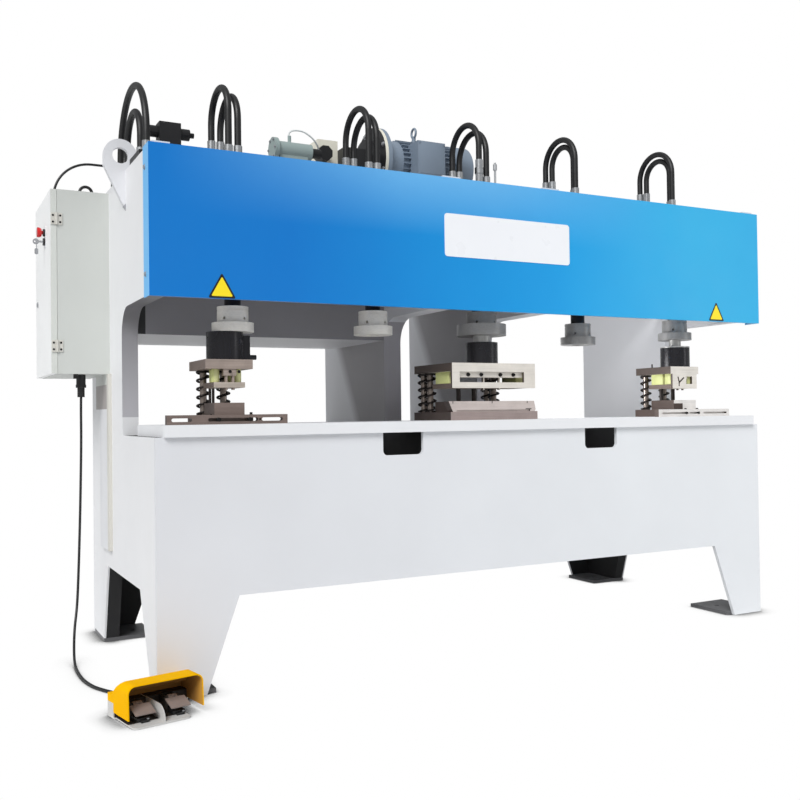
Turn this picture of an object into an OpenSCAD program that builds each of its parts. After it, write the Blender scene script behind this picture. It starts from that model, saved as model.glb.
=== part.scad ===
// Hydraulic multihead punch press: five ram heads on one welded C-frame bench.
// Millimetres. Origin on the floor at the centre of the anchor pattern, +X along the table, -Y is the front.

/* [Frame] */
// Overall length of the frame
machine_len = 2760; // [2400:10:3200]
// Depth of the frame, front panel to rear panel
machine_dep = 1180; // [1080:10:1320]
// Height of the frame above the floor
frame_top = 1840; // [1780:10:1900]
// Height of the jaws that carry the table
jaw_z = 860; // [820:5:880]
// Height of the underside of the upper arms
arm_z = 1338; // [1330:1:1345]
// Depth of the throat behind the front panel
throat_depth = 531; // [480:1:580]
// Radius of the fillet at the top of the throat
throat_r = 105; // [40:5:140]
// Thickness of the two side frames
side_t = 60; // [40:5:70]
// Thickness of the two middle frames
mid_t = 80; // [50:5:90]
// Centre distance from the machine's middle to each middle frame
mid_x = 235; // [225:5:300]
// Thickness of the front and rear panels
panel_t = 16; // [10:1:25]
// Height of the panels' lower edge between the legs
leg_z = 320; // [250:10:400]
// Width of a leg at the floor
leg_w_low = 165; // [140:5:220]
// Width of a leg at the panel's lower edge
leg_w_high = 280; // [240:5:340]
// Width of a scrap notch
notch_w = 168; // [120:2:200]
// Depth of a scrap notch below the table
notch_d = 84; // [50:2:120]
// Length of a foot plate along X
foot_w = 200; // [160:10:260]
// Length of a foot plate along Y
foot_d = 220; // [180:10:280]
// Thickness of a foot plate
foot_t = 15; // [10:1:25]
// Radius of an anchor hole
anchor_r = 11; // [8:0.5:14]

/* [Table] */
// Thickness of the table slab
slab_t = 40; // [30:2:50]
// Overhang of the slab in front of the panel
slab_front = 16; // [0:1:30]
// Distance from the panel to the slab's rear edge
slab_rear = 395; // [380:5:450]

/* [Heads] */
// Distance from the middle head to the second and fourth heads
head_in = 496; // [440:2:560]
// Distance from the middle head to the first and fifth heads
head_out = 1057; // [1000:2:1100]
// Distance from the front panel to the ram axes
head_y = 182; // [170:1:200]
// Radius of a small head's flange
flange_r = 75; // [65:1:80]
// Radius of a small head's body
body_r = 56; // [50:1:62]
// Radius of the middle head's flange
big_flange_r = 101; // [90:1:105]
// Radius of the middle head's body
big_body_r = 62; // [56:1:75]
// Radius of the tool bore in a small head
tool_r = 27; // [22:0.5:32]
// Radius of the tool bore in the middle head
big_tool_r = 35; // [28:0.5:40]
// Depth of the tool bores
tool_depth = 60; // [50:1:62]
// Radius of a small rod
rod_r = 30; // [25:1:35]
// Radius of the middle rod
big_rod_r = 40; // [32:1:45]
// Full stroke of a ram
stroke = 160; // [120:5:180]

/* [Dies] */
// Thickness of a die's base plate
base_t = 33; // [28:1:36]
// Height of a lower die block above its base plate
block_h = 42; // [36:1:44]
// Underside of the strippers above the table
strip_z = 128; // [124:1:134]
// Thickness of a stripper
strip_t = 19; // [16:1:20]
// Top of an upper die plate above the table
plate_z = 227; // [222:1:236]
// Thickness of an upper die plate
plate_t = 33; // [28:1:38]
// Radius of a punch block
block_r = 65.5; // [55:0.5:68]
// Radius of a guide post
post_r = 12.5; // [10:0.5:14]
// Mean radius of a die spring
coil_r = 22; // [18:0.5:23]
// Radius of the die spring wire
wire_r = 4; // [2:0.1:4.2]

/* [Cover] */
// Underside of the front cover
cover_z0 = 1325; // [1320:1:1330]
// Top of the front cover
cover_z1 = 1830; // [1800:5:1840]
// Overhang of the cover beyond each side frame
cover_over = 16; // [12:1:30]
// Depth of the cover's side returns
cover_ret = 80; // [60:5:110]
// Sheet thickness of the cover
cover_t = 3; // [2:0.5:4]

/* [Cabinet] */
// Depth of the cabinet away from the side frame, door included
cab_x = 221; // [180:1:260]
// Width of the cabinet
cab_y = 485; // [420:5:520]
// Height of the cabinet
cab_z = 723; // [600:1:760]
// Height of the cabinet's underside
cab_z0 = 1102; // [1060:1:1140]
// Depth of the door pan
door_t = 24; // [18:1:30]
// Sheet thickness of the cabinet
sheet_t = 2; // [1.5:0.5:3]

/* [Foot switch] */
// Width of the guard
guard_w = 248; // [220:2:280]
// Height of the guard at its mouth
guard_h = 121; // [105:1:140]
// Depth of the foot switch behind its mouth
switch_d = 154; // [140:2:154]
// Wall of the guard
guard_t = 4; // [3:0.5:5]
// Turn of the foot switch on the floor
switch_turn = 10.7; // [0:0.1:15]
// Width of a pedal
pedal_w = 64; // [50:1:70]

/* [Power unit] */
// Radius of the motor's flange
motor_flange_r = 150; // [130:5:160]
// Radius of the motor's finned body
motor_r = 112; // [100:2:120]
// Length of the motor behind its flange
motor_len = 440; // [380:5:480]
// Height of the motor's axis
motor_z = 2015; // [2000:5:2060]
// Outside radius of the hydraulic hoses
hose_r = 12.5; // [8:0.5:13]

/* [Hidden] */
$fn = 64;

xe = machine_len / 2;
yf = -machine_dep / 2;
yr = machine_dep / 2;
col_y = yf + throat_depth;
table_z = jaw_z + slab_t;
arm_y = yf + 10;
run = 0.05;
press = 0.02;
air = 0.3;

// Ram axes and the height each head rests at.
hx = [-head_out, -head_in, 0, head_in, head_out];
hy = yf + head_y;
rest_drop = [23, 18, 0, 34, 0];
head_low = 1252;
big_low = 1244;
head_h = 91;
big_head_h = 96;
function bottom(i) = i == 2 ? big_low : head_low - rest_drop[i];
function head_top(i) = bottom(i) + (i == 2 ? big_head_h : head_h);
function rodr(i) = i == 2 ? big_rod_r : rod_r;

// Crown plates, cylinders and pistons.
crown_z = 1402;
crown_t = 55;
crown_top = crown_z + crown_t;
crown_y0 = yf + 55;
// Underside of the box beam in each bay: the left one hangs low.
beam_z = [1245, 1500, 1500];
beam_t = 20;
beam_y1 = yr - 108;
deck_t = 12;
deck_z = frame_top - deck_t;
deck_y0 = yf + 331;
gland_z = 1355;
cap_z = frame_top - 95;
cap_t = 50;
piston_t = 60;
spigot_r = 18;
spigot_h = 24;
bore_r = 50;
big_bore_r = 70;
barrel_r = 75;
big_barrel_r = 92;
gland_r = 55;
big_gland_r = 72;
chamber_z = cap_z - stroke - piston_t - air;

// Hose pair of each head: the first hose's shift, then the second's offset along X and Y.
hose_shift = [-9, -9, 0, 0, 0];
hose_side = 2 * hose_r + 10;
hose_nest = 2 * hose_r + 5;
hose_gap = [hose_side, hose_side, hose_side, 14, 14];
hose_in = [0, 0, 0, hose_nest, hose_nest];
hose_y1 = yf + 397;
hose_z = frame_top + 194;
hose_z2 = frame_top + 166;
bleed = [275, -110];
bleed_z = frame_top + 224;
function hose_x(k) = hx[k] + hose_shift[k];

// Die levels.
base_z = table_z + base_t;
block_z = base_z + block_h;
st_z = table_z + strip_z;
st_top = st_z + strip_t;
up_top = table_z + plate_z;
up_z = up_top - plate_t;
post_top = up_top - 3;
coil_turns = 5;
punch_r = 6;
pilot_r = 9;
tip = 8;
pin_r_1 = 5;
pin_gap = 3;
pin_in = 22;
die_gap = 0.3;

// Guide posts as [x, y] for the three die sets.
posts_1 = [[-1143, yf + 270], [-1068, yf + 270]];
posts_3 = [[-180, yf + 298], [-180, yf + 354], [130, yf + 298], [130, yf + 354]];
posts_5 = [[985, yf + 300], [1097, yf + 300]];

// Cabinet box.
cx0 = -xe - cab_x;
cxs = cx0 + door_t;
cy0 = yf + 770;
cy1 = cy0 + cab_y;
cz1 = cab_z0 + cab_z;
hinge_y = cy0 - 5;
hinges = [cab_z0 + 85, cz1 - 140];
estop = [cy0 + 160, cz1 - 146];
key = [cy0 + 160, cz1 - 183];
gland_x = -xe - 100;
gland_y = yf + 846;
lead_y = cy0 + 220;
lead_x = -xe - 180;
lead_r = 5;
lead_bend = 151;
lead_end = 60;
lead_z = max(cz1 + 16 + lead_bend, frame_top + 25 + lead_end + 10);
lead_x1 = -1140;
loop_x = -xe - 67;
loop_r = 24;
loop_z = cz1 + 25;

// Foot switch frame and pedal pivots.
sw = [-xe - 16, yf - 181];
ped_x = [-69, 46];
ped_y = 60;
ped_z = 46;
ped_len = 72;
ped_tilt = 20;
plate_x = [-118, 68];

// Motor line.
mx0 = -300;
my = yf + 560;
mfoot_z = motor_z - 132;
shaft_r = 19;
tank_x0 = mx0 - 256;
tank_y = my + 10;

// Cable route, gland to foot switch.
cable_r = 5;
gland_sx = -60;
gland_out = 20;
function on_switch(x, y, z) = [sw[0] + x * cos(switch_turn) - y * sin(switch_turn),
  sw[1] + x * sin(switch_turn) + y * cos(switch_turn), z];
cable_pts = [[gland_x, gland_y, cab_z0 - 90], [gland_x - 1, gland_y - 2, 960],
  [gland_x - 2, gland_y - 4, 800], [gland_x - 10, gland_y - 10, 500], [gland_x - 24, gland_y - 30, 220],
  [-1524, 170, 105], [-1537, 100, 38], [-1548, 0, 9], [-1553, -120, 5.5], [-1549, -225, 5.2],
  [-1533, -315, 5.2], [-1510, -375, 5.2], [-1484, -430, 5.2], [-1472, -490, 5.2], [-1482, -550, 10],
  on_switch(gland_sx, switch_d + gland_out + 22, 22), on_switch(gland_sx, switch_d + gland_out, 24)];

// ---------- helpers ----------
module box3(x0, x1, y0, y1, z0, z1) {
  translate([x0, y0, z0])
    cube([x1 - x0, y1 - y0, z1 - z0]);
}
module rect2(a0, a1, b0, b1) {
  translate([a0, b0])
    square([a1 - a0, b1 - b0]);
}
module along_x(x, t) {
  translate([x, 0, 0])
    rotate([90, 0, 90])
      linear_extrude(t)
        children();
}
module along_y(y, t) {
  translate([0, y + t, 0])
    rotate([90, 0, 0])
      linear_extrude(t)
        children();
}
module zcyl(x, y, z0, z1, r) {
  translate([x, y, z0])
    cylinder(r = r, h = z1 - z0);
}
module xcyl(x0, x1, y, z, r) {
  translate([x0, y, z])
    rotate([0, 90, 0])
      cylinder(r = r, h = x1 - x0);
}
module ycyl(x, y0, y1, z, r) {
  translate([x, y1, z])
    rotate([90, 0, 0])
      cylinder(r = r, h = y1 - y0);
}
module both_x() {
  children();
  mirror([1, 0, 0])
    children();
}

// ---------- frame ----------
module throat_fillet() {
  translate([col_y - throat_r, arm_z - throat_r])
    difference() {
      square(throat_r);
      circle(throat_r);
    }
}
module arm_2d() {
  rect2(col_y, yr, jaw_z, frame_top);
  rect2(arm_y, yr, arm_z, frame_top);
  throat_fillet();
}
module side_2d() {
  arm_2d();
  polygon([[yf + panel_t, foot_t], [yf + 88.8, foot_t], [yf + 250, 327], [yr - 331, 327],
    [yr - 235.6, foot_t], [yr - panel_t, foot_t], [yr - panel_t, jaw_z], [yf + panel_t, jaw_z]]);
}
module mid_2d() {
  arm_2d();
  rect2(yf + panel_t, yr - panel_t, leg_z + 10, jaw_z);
}
module left_side_frame() {
  color([0.88, 0.89, 0.9])
    along_x(-xe, side_t)
      side_2d();
}
module right_side_frame() {
  color([0.88, 0.89, 0.9])
    along_x(xe - side_t, side_t)
      side_2d();
}
module left_middle_frame() {
  color([0.88, 0.89, 0.9])
    along_x(-mid_x - mid_t / 2, mid_t)
      mid_2d();
}
module right_middle_frame() {
  color([0.88, 0.89, 0.9])
    along_x(mid_x - mid_t / 2, mid_t)
      mid_2d();
}
module panel_2d() {
  polygon([[-xe, 0], [-xe + leg_w_low, 0], [-xe + leg_w_high, leg_z], [xe - leg_w_high, leg_z],
    [xe - leg_w_low, 0], [xe, 0], [xe, jaw_z], [-xe, jaw_z]]);
}
module notch_2d(x) {
  r = 18;
  rect2(x - notch_w / 2, x + notch_w / 2, jaw_z - notch_d + r, jaw_z + 1);
  rect2(x - notch_w / 2 + r, x + notch_w / 2 - r, jaw_z - notch_d, jaw_z);
  translate([x - notch_w / 2 + r, jaw_z - notch_d + r])
    circle(r);
  translate([x + notch_w / 2 - r, jaw_z - notch_d + r])
    circle(r);
}
module front_panel() {
  color([0.88, 0.89, 0.9])
    along_y(yf, panel_t)
      difference() {
        panel_2d();
        notch_2d(-465);
        notch_2d(465);
      }
}
module rear_panel() {
  color([0.88, 0.89, 0.9])
    along_y(yr - panel_t, panel_t)
      panel_2d();
}
bays = [[-xe + side_t, -mid_x - mid_t / 2], [-mid_x + mid_t / 2, mid_x - mid_t / 2],
  [mid_x + mid_t / 2, xe - side_t]];
module beam_2d(z) {
  rect2(col_y, beam_y1, z, z + beam_t);
  rect2(col_y, col_y + beam_t, z, deck_z);
  rect2(beam_y1 - beam_t, beam_y1, z, deck_z);
}
module cross_beams() {
  color([0.8, 0.81, 0.82])
    for (i = [0:2])
      along_x(bays[i][0], bays[i][1] - bays[i][0])
        beam_2d(beam_z[i]);
}
module bay_plates() {
  color([0.84, 0.85, 0.86])
    for (i = [0:2]) {
      difference() {
        box3(bays[i][0], bays[i][1], crown_y0, col_y, crown_z, crown_top);
        for (k = [0:4])
          zcyl(hx[k], hy, crown_z - 1, crown_top + 1, (k == 2 ? big_gland_r : gland_r) + press);
      }
      box3(bays[i][0], bays[i][1], deck_y0, yr, deck_z, frame_top);
    }
}
module foot_plate() {
  difference() {
    box3(-xe, -xe + foot_w, yf + panel_t, yf + panel_t + foot_d, 0, foot_t);
    zcyl(-xe + 130, yf + 140, -1, foot_t + 1, anchor_r);
  }
}
module foot_plates() {
  color([0.78, 0.79, 0.8])
    both_x() {
      foot_plate();
      mirror([0, 1, 0])
        foot_plate();
    }
}
module table_slab() {
  color([0.9, 0.91, 0.92])
    difference() {
      box3(-xe + 27, xe - 40, yf - slab_front, yf + slab_rear, jaw_z, table_z);
      for (k = [0:4])
        zcyl(hx[k], hy, jaw_z - 1, table_z + 1, 24);
      for (k = [0:4], s = [-1, 1])
        zcyl(hx[k] + s * 190, yf + 45, jaw_z - 1, table_z + 1, 8);
    }
}
module lug() {
  along_y(yf + 437, 22)
    difference() {
      union() {
        translate([-xe - 17, frame_top + 54])
          circle(61);
        polygon([[-xe - 78, frame_top + 54], [-xe - 78, frame_top + 14], [-xe - 12, frame_top - 122],
          [-xe, frame_top - 139], [-xe + 44, frame_top - 10], [-xe + 44, frame_top + 54]]);
      }
      rect2(-xe, -xe + side_t, frame_top - 200, frame_top);
      translate([-xe - 17, frame_top + 54])
        circle(29.5);
    }
}
module lifting_lugs() {
  color([0.88, 0.89, 0.9])
    both_x()
      lug();
}

// ---------- cover ----------
module front_cover() {
  y0 = yf - 7;
  x1 = xe + cover_over;
  color([0.1, 0.45, 0.85]) {
    difference() {
      box3(-x1, x1, y0, y0 + cover_ret, cover_z0, cover_z1);
      box3(-x1 + cover_t, x1 - cover_t, y0 + cover_t, y0 + cover_ret + 1, cover_z0 + cover_t, cover_z1 - cover_t);
      box3(-x1 + cover_t, x1 - cover_t, y0 + 16, y0 + cover_ret + 1, cover_z0 - 1, cover_z1 + 1);
    }
    both_x()
      for (z = [cover_z0 + 76, cover_z1 - 73])
        xcyl(-x1 + cover_t, -xe, y0 + 52, z, 12);
  }
}

// ---------- cabinet ----------
module cabinet_body() {
  color([0.82, 0.83, 0.8]) {
    difference() {
      box3(cxs, -xe, cy0, cy1, cab_z0, cz1);
      box3(cxs - 1, -xe - sheet_t, cy0 + sheet_t, cy1 - sheet_t, cab_z0 + sheet_t, cz1 - sheet_t);
    }
    for (z = hinges) {
      box3(cxs + 3, cxs + 20, cy0 - 3, cy0, z, z + 46);
      difference() {
        zcyl(cxs - 2, hinge_y, z, z + 15, 5);
        zcyl(cxs - 2, hinge_y, z - 1, z + 47, 3 + run);
      }
      box3(cxs + 1.5, cxs + 4.5, cy0 - 3, cy0, z, z + 15);
      difference() {
        zcyl(cxs - 2, hinge_y, z + 31, z + 46, 5);
        zcyl(cxs - 2, hinge_y, z - 1, z + 47, 3 + run);
      }
      box3(cxs + 1.5, cxs + 4.5, cy0 - 3, cy0, z + 31, z + 46);
      zcyl(cxs - 2, hinge_y, z - 1, z + 47, 3);
    }
    box3(-xe - 14, -xe, yf + 740, yf + 930, 400, cab_z0 - 139);
    box3(-xe - 14, -xe, yf + 740, yf + 1010, cab_z0 - 139, cab_z0);
  }
}
module cabinet_door() {
  color([0.9, 0.9, 0.89]) {
    difference() {
      box3(cx0, cxs - 1, cy0 + 1, cy1 - 1, cab_z0 + 1, cz1 - 1);
      box3(cx0 + sheet_t, cxs, cy0 + 3, cy1 - 3, cab_z0 + 3, cz1 - 3);
      xcyl(cx0 - 1, cx0 + 5, estop[0], estop[1], 8.5);
      xcyl(cx0 - 1, cx0 + 5, key[0], key[1], 8.5);
    }
    for (z = hinges) {
      box3(cx0 + 1, cxs - 7.5, cy0 - 3, cy0 + 1, z, z + 46);
      difference() {
        union() {
          zcyl(cxs - 2, hinge_y, z + 15.2, z + 30.8, 5);
          box3(cxs - 8, cxs - 4, cy0 - 3, cy0 - 1, z + 15.2, z + 30.8);
        }
        zcyl(cxs - 2, hinge_y, z - 1, z + 47, 3 + run);
      }
    }
    for (c = [estop, key])
      difference() {
        xcyl(cx0 - 9, cx0, c[0], c[1], 15);
        xcyl(cx0 - 10, cx0 + 1, c[0], c[1], 8 + air);
      }
    for (c = [estop, key])
      difference() {
        xcyl(cx0 + sheet_t, cx0 + sheet_t + 40, c[0], c[1], 14);
        xcyl(cx0, cx0 + sheet_t + 30, c[0], c[1], 8 + air);
      }
  }
}
module estop_button() {
  color([0.8, 0.1, 0.08]) {
    xcyl(cx0 - 16, cx0 + 20, estop[0], estop[1], 8);
    translate([cx0 - 15, estop[0], estop[1]])
      rotate([0, -90, 0])
        cylinder(r1 = 16, r2 = 20, h = 8);
    xcyl(cx0 - 31, cx0 - 23, estop[0], estop[1], 20);
  }
}
module key_switch() {
  color([0.7, 0.7, 0.72]) {
    xcyl(cx0 - 10, cx0 + 20, key[0], key[1], 8);
    box3(cx0 - 28, cx0 - 10, key[0] - 1.2, key[0] + 1.2, key[1] - 4, key[1] + 4);
    difference() {
      ycyl(cx0 - 36, key[0] - 1.2, key[0] + 1.2, key[1], 12);
      ycyl(cx0 - 40, key[0] - 3, key[0] + 3, key[1], 3);
    }
  }
}
module control_gear() {
  bx = -xe - sheet_t - 14;
  color([0.3, 0.32, 0.34]) {
    box3(bx - 3, bx, cy0 + 30, cy1 - 30, cab_z0 + 40, cz1 - 40);
    for (y = [cy0 + 50, cy1 - 50], z = [cab_z0 + 60, cz1 - 60])
      xcyl(bx, bx + 14, y, z, 6);
    for (i = [0:3])
      box3(bx - 75, bx - 3, cy0 + 60 + i * 92, cy0 + 132 + i * 92, cz1 - 170, cz1 - 80);
    box3(bx - 110, bx - 3, cy0 + 60, cy0 + 260, cab_z0 + 300, cab_z0 + 440);
    box3(bx - 90, bx - 3, cy0 + 300, cy0 + 420, cab_z0 + 300, cab_z0 + 460);
    box3(bx - 45, bx - 3, cy0 + 60, cy0 + 420, cab_z0 + 110, cab_z0 + 160);
  }
}
// Quarter bend of the control lead in the XZ plane.
module lead_bend_at(x, z, r, a) {
  translate([x, lead_y, z])
    rotate([90, 0, 0])
      rotate([0, 0, a])
        rotate_extrude(angle = 90)
          translate([r, 0])
            circle(lead_r);
}
module cable_glands() {
  color([0.08, 0.08, 0.09]) {
    zcyl(gland_x, gland_y, cab_z0 - 40, cab_z0, 18);
    zcyl(gland_x, gland_y, cab_z0 - 52, cab_z0 - 40, 20);
    zcyl(gland_x, gland_y, cab_z0 - 90, cab_z0 - 52, 14);
    zcyl(-xe - 127, cy0 + 30, cab_z0 - 18, cab_z0, 9);
    for (s = [-1, 1])
      zcyl(loop_x + s * loop_r, yf + 900, cz1, loop_z, 12);
    zcyl(lead_x, lead_y, cz1, cz1 + 16, 12);
    if (lead_z - lead_bend > cz1 + 16)
      zcyl(lead_x, lead_y, cz1 + 16, lead_z - lead_bend, lead_r);
    lead_bend_at(lead_x + lead_bend, lead_z - lead_bend, lead_bend, 90);
    xcyl(lead_x + lead_bend, lead_x1 - lead_end, lead_y, lead_z, lead_r);
    lead_bend_at(lead_x1 - lead_end, lead_z - lead_end, lead_end, 0);
    zcyl(lead_x1, lead_y, frame_top + 25, lead_z - lead_end, lead_r);
    zcyl(lead_x1, lead_y, frame_top, frame_top + 25, 14);
  }
}

// ---------- foot switch ----------
module at_switch() {
  translate([sw[0], sw[1], 0])
    rotate([0, 0, switch_turn])
      children();
}
module switch_plate_2d() {
  r = 15;
  rect2(plate_x[0], plate_x[1], r - 40, switch_d);
  rect2(plate_x[0] + r, plate_x[1] - r, -40, 0);
  for (x = [plate_x[0] + r, plate_x[1] - r])
    translate([x, r - 40])
      circle(r);
  rect2(-guard_w / 2, guard_w / 2, 100, switch_d);
}
module pedal_base() {
  color([0.72, 0.72, 0.72])
    at_switch() {
      difference() {
        union() {
          linear_extrude(5)
            switch_plate_2d();
          box3(-guard_w / 2, guard_w / 2, 108, switch_d, 5, 47);
          for (x = ped_x, s = [-1, 1]) {
            box3(x + s * 18.5 - 3.5, x + s * 18.5 + 3.5, ped_y - 6, 108, 5, ped_z);
            xcyl(x + s * 18.5 - 3.5, x + s * 18.5 + 3.5, ped_y, ped_z, 8);
          }
        }
        for (x = ped_x)
          xcyl(x - 25, x + 25, ped_y, ped_z, 4 + run);
        ycyl(gland_sx, 128, switch_d + 1, 24, 8 + press);
      }
      ycyl(gland_sx, 128, switch_d + gland_out, 24, 8);
      along_x(-19, 2.5)
        intersection() {
          rect2(-36, 108, 5, 50);
          union() {
            rect2(9, 108, 5, 50);
            translate([9, 5])
              circle(45);
          }
        }
      for (x = ped_x)
        xcyl(x - 24, x + 24, ped_y, ped_z, 4);
    }
}
module guard_front_2d(g) {
  r = 26 - g;
  w = guard_w / 2 - g;
  h = guard_h - g;
  rect2(-w, w, 0, h - r);
  rect2(-w + r, w - r, 0, h);
  for (s = [-1, 1])
    translate([s * (w - r), h - r])
      circle(r);
}
module guard_side_2d(g) {
  polygon([[-9, 20], [-4, guard_h - g], [64, guard_h - g], [118, 76 - g], [switch_d - g, 72 - g],
    [switch_d - g, 47.3], [126, 47.3], [114, 20]]);
}
module pedal_guard() {
  color([0.97, 0.75, 0.08])
    at_switch()
      difference() {
        intersection() {
          along_y(-20, 200)
            guard_front_2d(0);
          along_x(-guard_w / 2, guard_w)
            guard_side_2d(0);
        }
        intersection() {
          along_y(-21, 202)
            guard_front_2d(guard_t);
          along_x(-guard_w / 2, guard_w)
            polygon([[-40, 0], [-40, guard_h - guard_t], [63, guard_h - guard_t], [117, 76 - guard_t],
              [switch_d - guard_t, 72 - guard_t], [switch_d - guard_t, 0]]);
        }
        along_x(-guard_w / 2 - 1, guard_w + 2)
          polygon([[107, 10], [107, 47.3], [switch_d + 1, 47.3], [switch_d + 1, 10]]);
      }
}
module pedal(x) {
  at_switch()
    translate([x, ped_y, ped_z])
      rotate([ped_tilt, 0, 0])
        difference() {
          union() {
            box3(-pedal_w / 2, pedal_w / 2, -ped_len, -20, 9, 13);
            xcyl(-14, 14, 0, 0, 9);
            for (s = [-1, 1])
              box3(s * 10 - 4, s * 10 + 4, -50, 0, -2, 9);
          }
          xcyl(-15, 15, 0, 0, 4 + run);
        }
}
module left_pedal() {
  color([0.55, 0.5, 0.48])
    pedal(ped_x[0]);
}
module right_pedal() {
  color([0.55, 0.5, 0.48])
    pedal(ped_x[1]);
}

// Smooth curve through the route points, then a ring round each point of it.
function unit(v) = v / norm(v);
function spline(p, i, t) =
  let (a = p[max(i - 1, 0)], b = p[i], c = p[i + 1], d = p[min(i + 2, len(p) - 1)])
  0.5 * (2 * b + (c - a) * t + (2 * a - 5 * b + 4 * c - d) * t * t + (3 * b - a - 3 * c + d) * t * t * t);
function curve(p, n) = concat([for (i = [0:len(p) - 2], j = [0:n - 1]) spline(p, i, j / n)], [p[len(p) - 1]]);
function tangent(c, i) = unit(c[min(i + 1, len(c) - 1)] - c[max(i - 1, 0)]);
function side_of(c, i) =
  i == 0 ? [1, 0, 0] :
  let (t = tangent(c, i), s = side_of(c, i - 1))
  unit(s - (s * t) * t);
module swept(c, r, n) {
  m = len(c);
  pts = [for (i = [0:m - 1])
    let (t = tangent(c, i), s = side_of(c, i), u = cross(t, s))
    for (j = [0:n - 1]) c[i] + r * (cos(360 * j / n) * s - sin(360 * j / n) * u)];
  faces = concat(
    [[for (j = [0:n - 1]) j]],
    [for (i = [0:m - 2], j = [0:n - 1]) [i * n + j, (i + 1) * n + j, i * n + (j + 1) % n]],
    [for (i = [0:m - 2], j = [0:n - 1]) [i * n + (j + 1) % n, (i + 1) * n + j, (i + 1) * n + (j + 1) % n]],
    [[for (j = [n - 1:-1:0]) (m - 1) * n + j]]);
  polyhedron(pts, faces);
}
module pedal_cable() {
  color([0.06, 0.06, 0.07])
    swept(curve(cable_pts, 4), cable_r, 8);
}

// ---------- cylinders, rams and heads ----------
module cylinder_unit(k) {
  br = k == 2 ? big_bore_r : bore_r;
  ob = k == 2 ? big_barrel_r : barrel_r;
  gr = k == 2 ? big_gland_r : gland_r;
  fr = k == 2 ? 120 : 105;
  difference() {
    union() {
      zcyl(hx[k], hy, gland_z, crown_top, gr);
      zcyl(hx[k], hy, crown_top, crown_top + 30, fr);
      zcyl(hx[k], hy, crown_top, cap_z, ob);
    }
    zcyl(hx[k], hy, chamber_z, cap_z + 1, br);
    zcyl(hx[k], hy, gland_z - 1, cap_z, rodr(k) + run);
  }
  difference() {
    zcyl(hx[k], hy, cap_z, cap_z + cap_t, ob);
    zcyl(hose_x(k), hy, cap_z - 1, cap_z + cap_t + 1, 7);
    zcyl(hose_x(k) + hose_gap[k], hy + hose_in[k], cap_z + 20, cap_z + cap_t + 1, 7);
  }
}
module small_cylinders() {
  color([0.35, 0.36, 0.38])
    for (k = [0, 1, 3, 4])
      cylinder_unit(k);
}
module centre_cylinder() {
  color([0.35, 0.36, 0.38])
    cylinder_unit(2);
}
module ram(k) {
  ptop = cap_z - air - (k == 2 ? 0 : rest_drop[k]);
  color([0.2, 0.2, 0.22]) {
    zcyl(hx[k], hy, ptop - piston_t, ptop, (k == 2 ? big_bore_r : bore_r) - run);
    zcyl(hx[k], hy, head_top(k), ptop - piston_t, rodr(k));
    zcyl(hx[k], hy, head_top(k) - spigot_h, head_top(k), spigot_r);
  }
}
module ram_1() { ram(0); }
module ram_2() { ram(1); }
module ram_3() { ram(2); }
module ram_4() { ram(3); }
module ram_5() { ram(4); }
module ram_head(k) {
  b = bottom(k);
  t = head_top(k);
  fr = k == 2 ? big_flange_r : flange_r;
  rb = k == 2 ? big_body_r : body_r;
  tr = k == 2 ? big_tool_r : tool_r;
  fh = k == 2 ? 46 : 33;
  color([0.6, 0.61, 0.62])
    difference() {
      union() {
        zcyl(hx[k], hy, b, b + fh, fr);
        zcyl(hx[k], hy, b + fh, t, rb);
      }
      zcyl(hx[k], hy, b - 1, b + tool_depth, tr);
      zcyl(hx[k], hy, t - spigot_h - 2, t + 1, spigot_r + press);
      translate([hx[k], hy, t - 15])
        difference() {
          cylinder(r = rb + 1, h = 3);
          cylinder(r = rb - 2.5, h = 3);
        }
      for (a = [-140, -60, 20])
        translate([hx[k], hy, b + fh + (k == 2 ? 8 : 14)])
          rotate([0, 90, a])
            cylinder(r = 5, h = rb + 1);
    }
}
module ram_head_1() { ram_head(0); }
module ram_head_2() { ram_head(1); }
module ram_head_3() { ram_head(2); }
module ram_head_4() { ram_head(3); }
module ram_head_5() { ram_head(4); }

// ---------- die sets ----------
d1x = -1085;
d5x = hx[4];
module punch_block_1() {
  color([0.12, 0.12, 0.14]) {
    zcyl(d1x, yf + 192, up_top, bottom(0), block_r);
    box3(-1030, -985, yf + 206, yf + 244, up_top, bottom(0) - 8);
    xcyl(-985, -957, yf + 225, up_top + 16, 9);
  }
}
module punch_block_3() {
  color([0.12, 0.12, 0.14]) {
    zcyl(0, hy, up_top, up_top + 89, block_r);
    zcyl(0, hy, up_top + 89, big_low + tool_depth - 2, big_tool_r - run);
  }
}
module punch_block_5() {
  color([0.12, 0.12, 0.14]) {
    zcyl(d5x, hy, up_top, up_top + 95, block_r);
    zcyl(d5x, hy, up_top + 95, head_low + tool_depth - 2, tool_r - run);
  }
}
module post_holes(posts, z0, z1, gap) {
  for (p = posts)
    zcyl(p[0], p[1], z0, z1, post_r + gap);
}
punch_x1 = [-1105, -1080];
pins_1 = [[-1128, yf + 195], [-1132, yf + 222]];
module upper_die_1() {
  color([0.45, 0.4, 0.38]) {
    difference() {
      box3(-1182, -1011, yf + 100, yf + 313, up_z, up_top);
      post_holes(posts_1, up_z - 1, up_top + 1, run);
    }
    box3(-1117, -1070, yf + 104, yf + 123, up_z - 24, up_z);
    for (x = punch_x1)
      zcyl(x, yf + 114, st_z - tip, up_z - 24, punch_r);
  }
}
x3a = -204;
x3b = 192;
punch_x3 = [-42, 33];
pin_x3 = [-116, -43];
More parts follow.
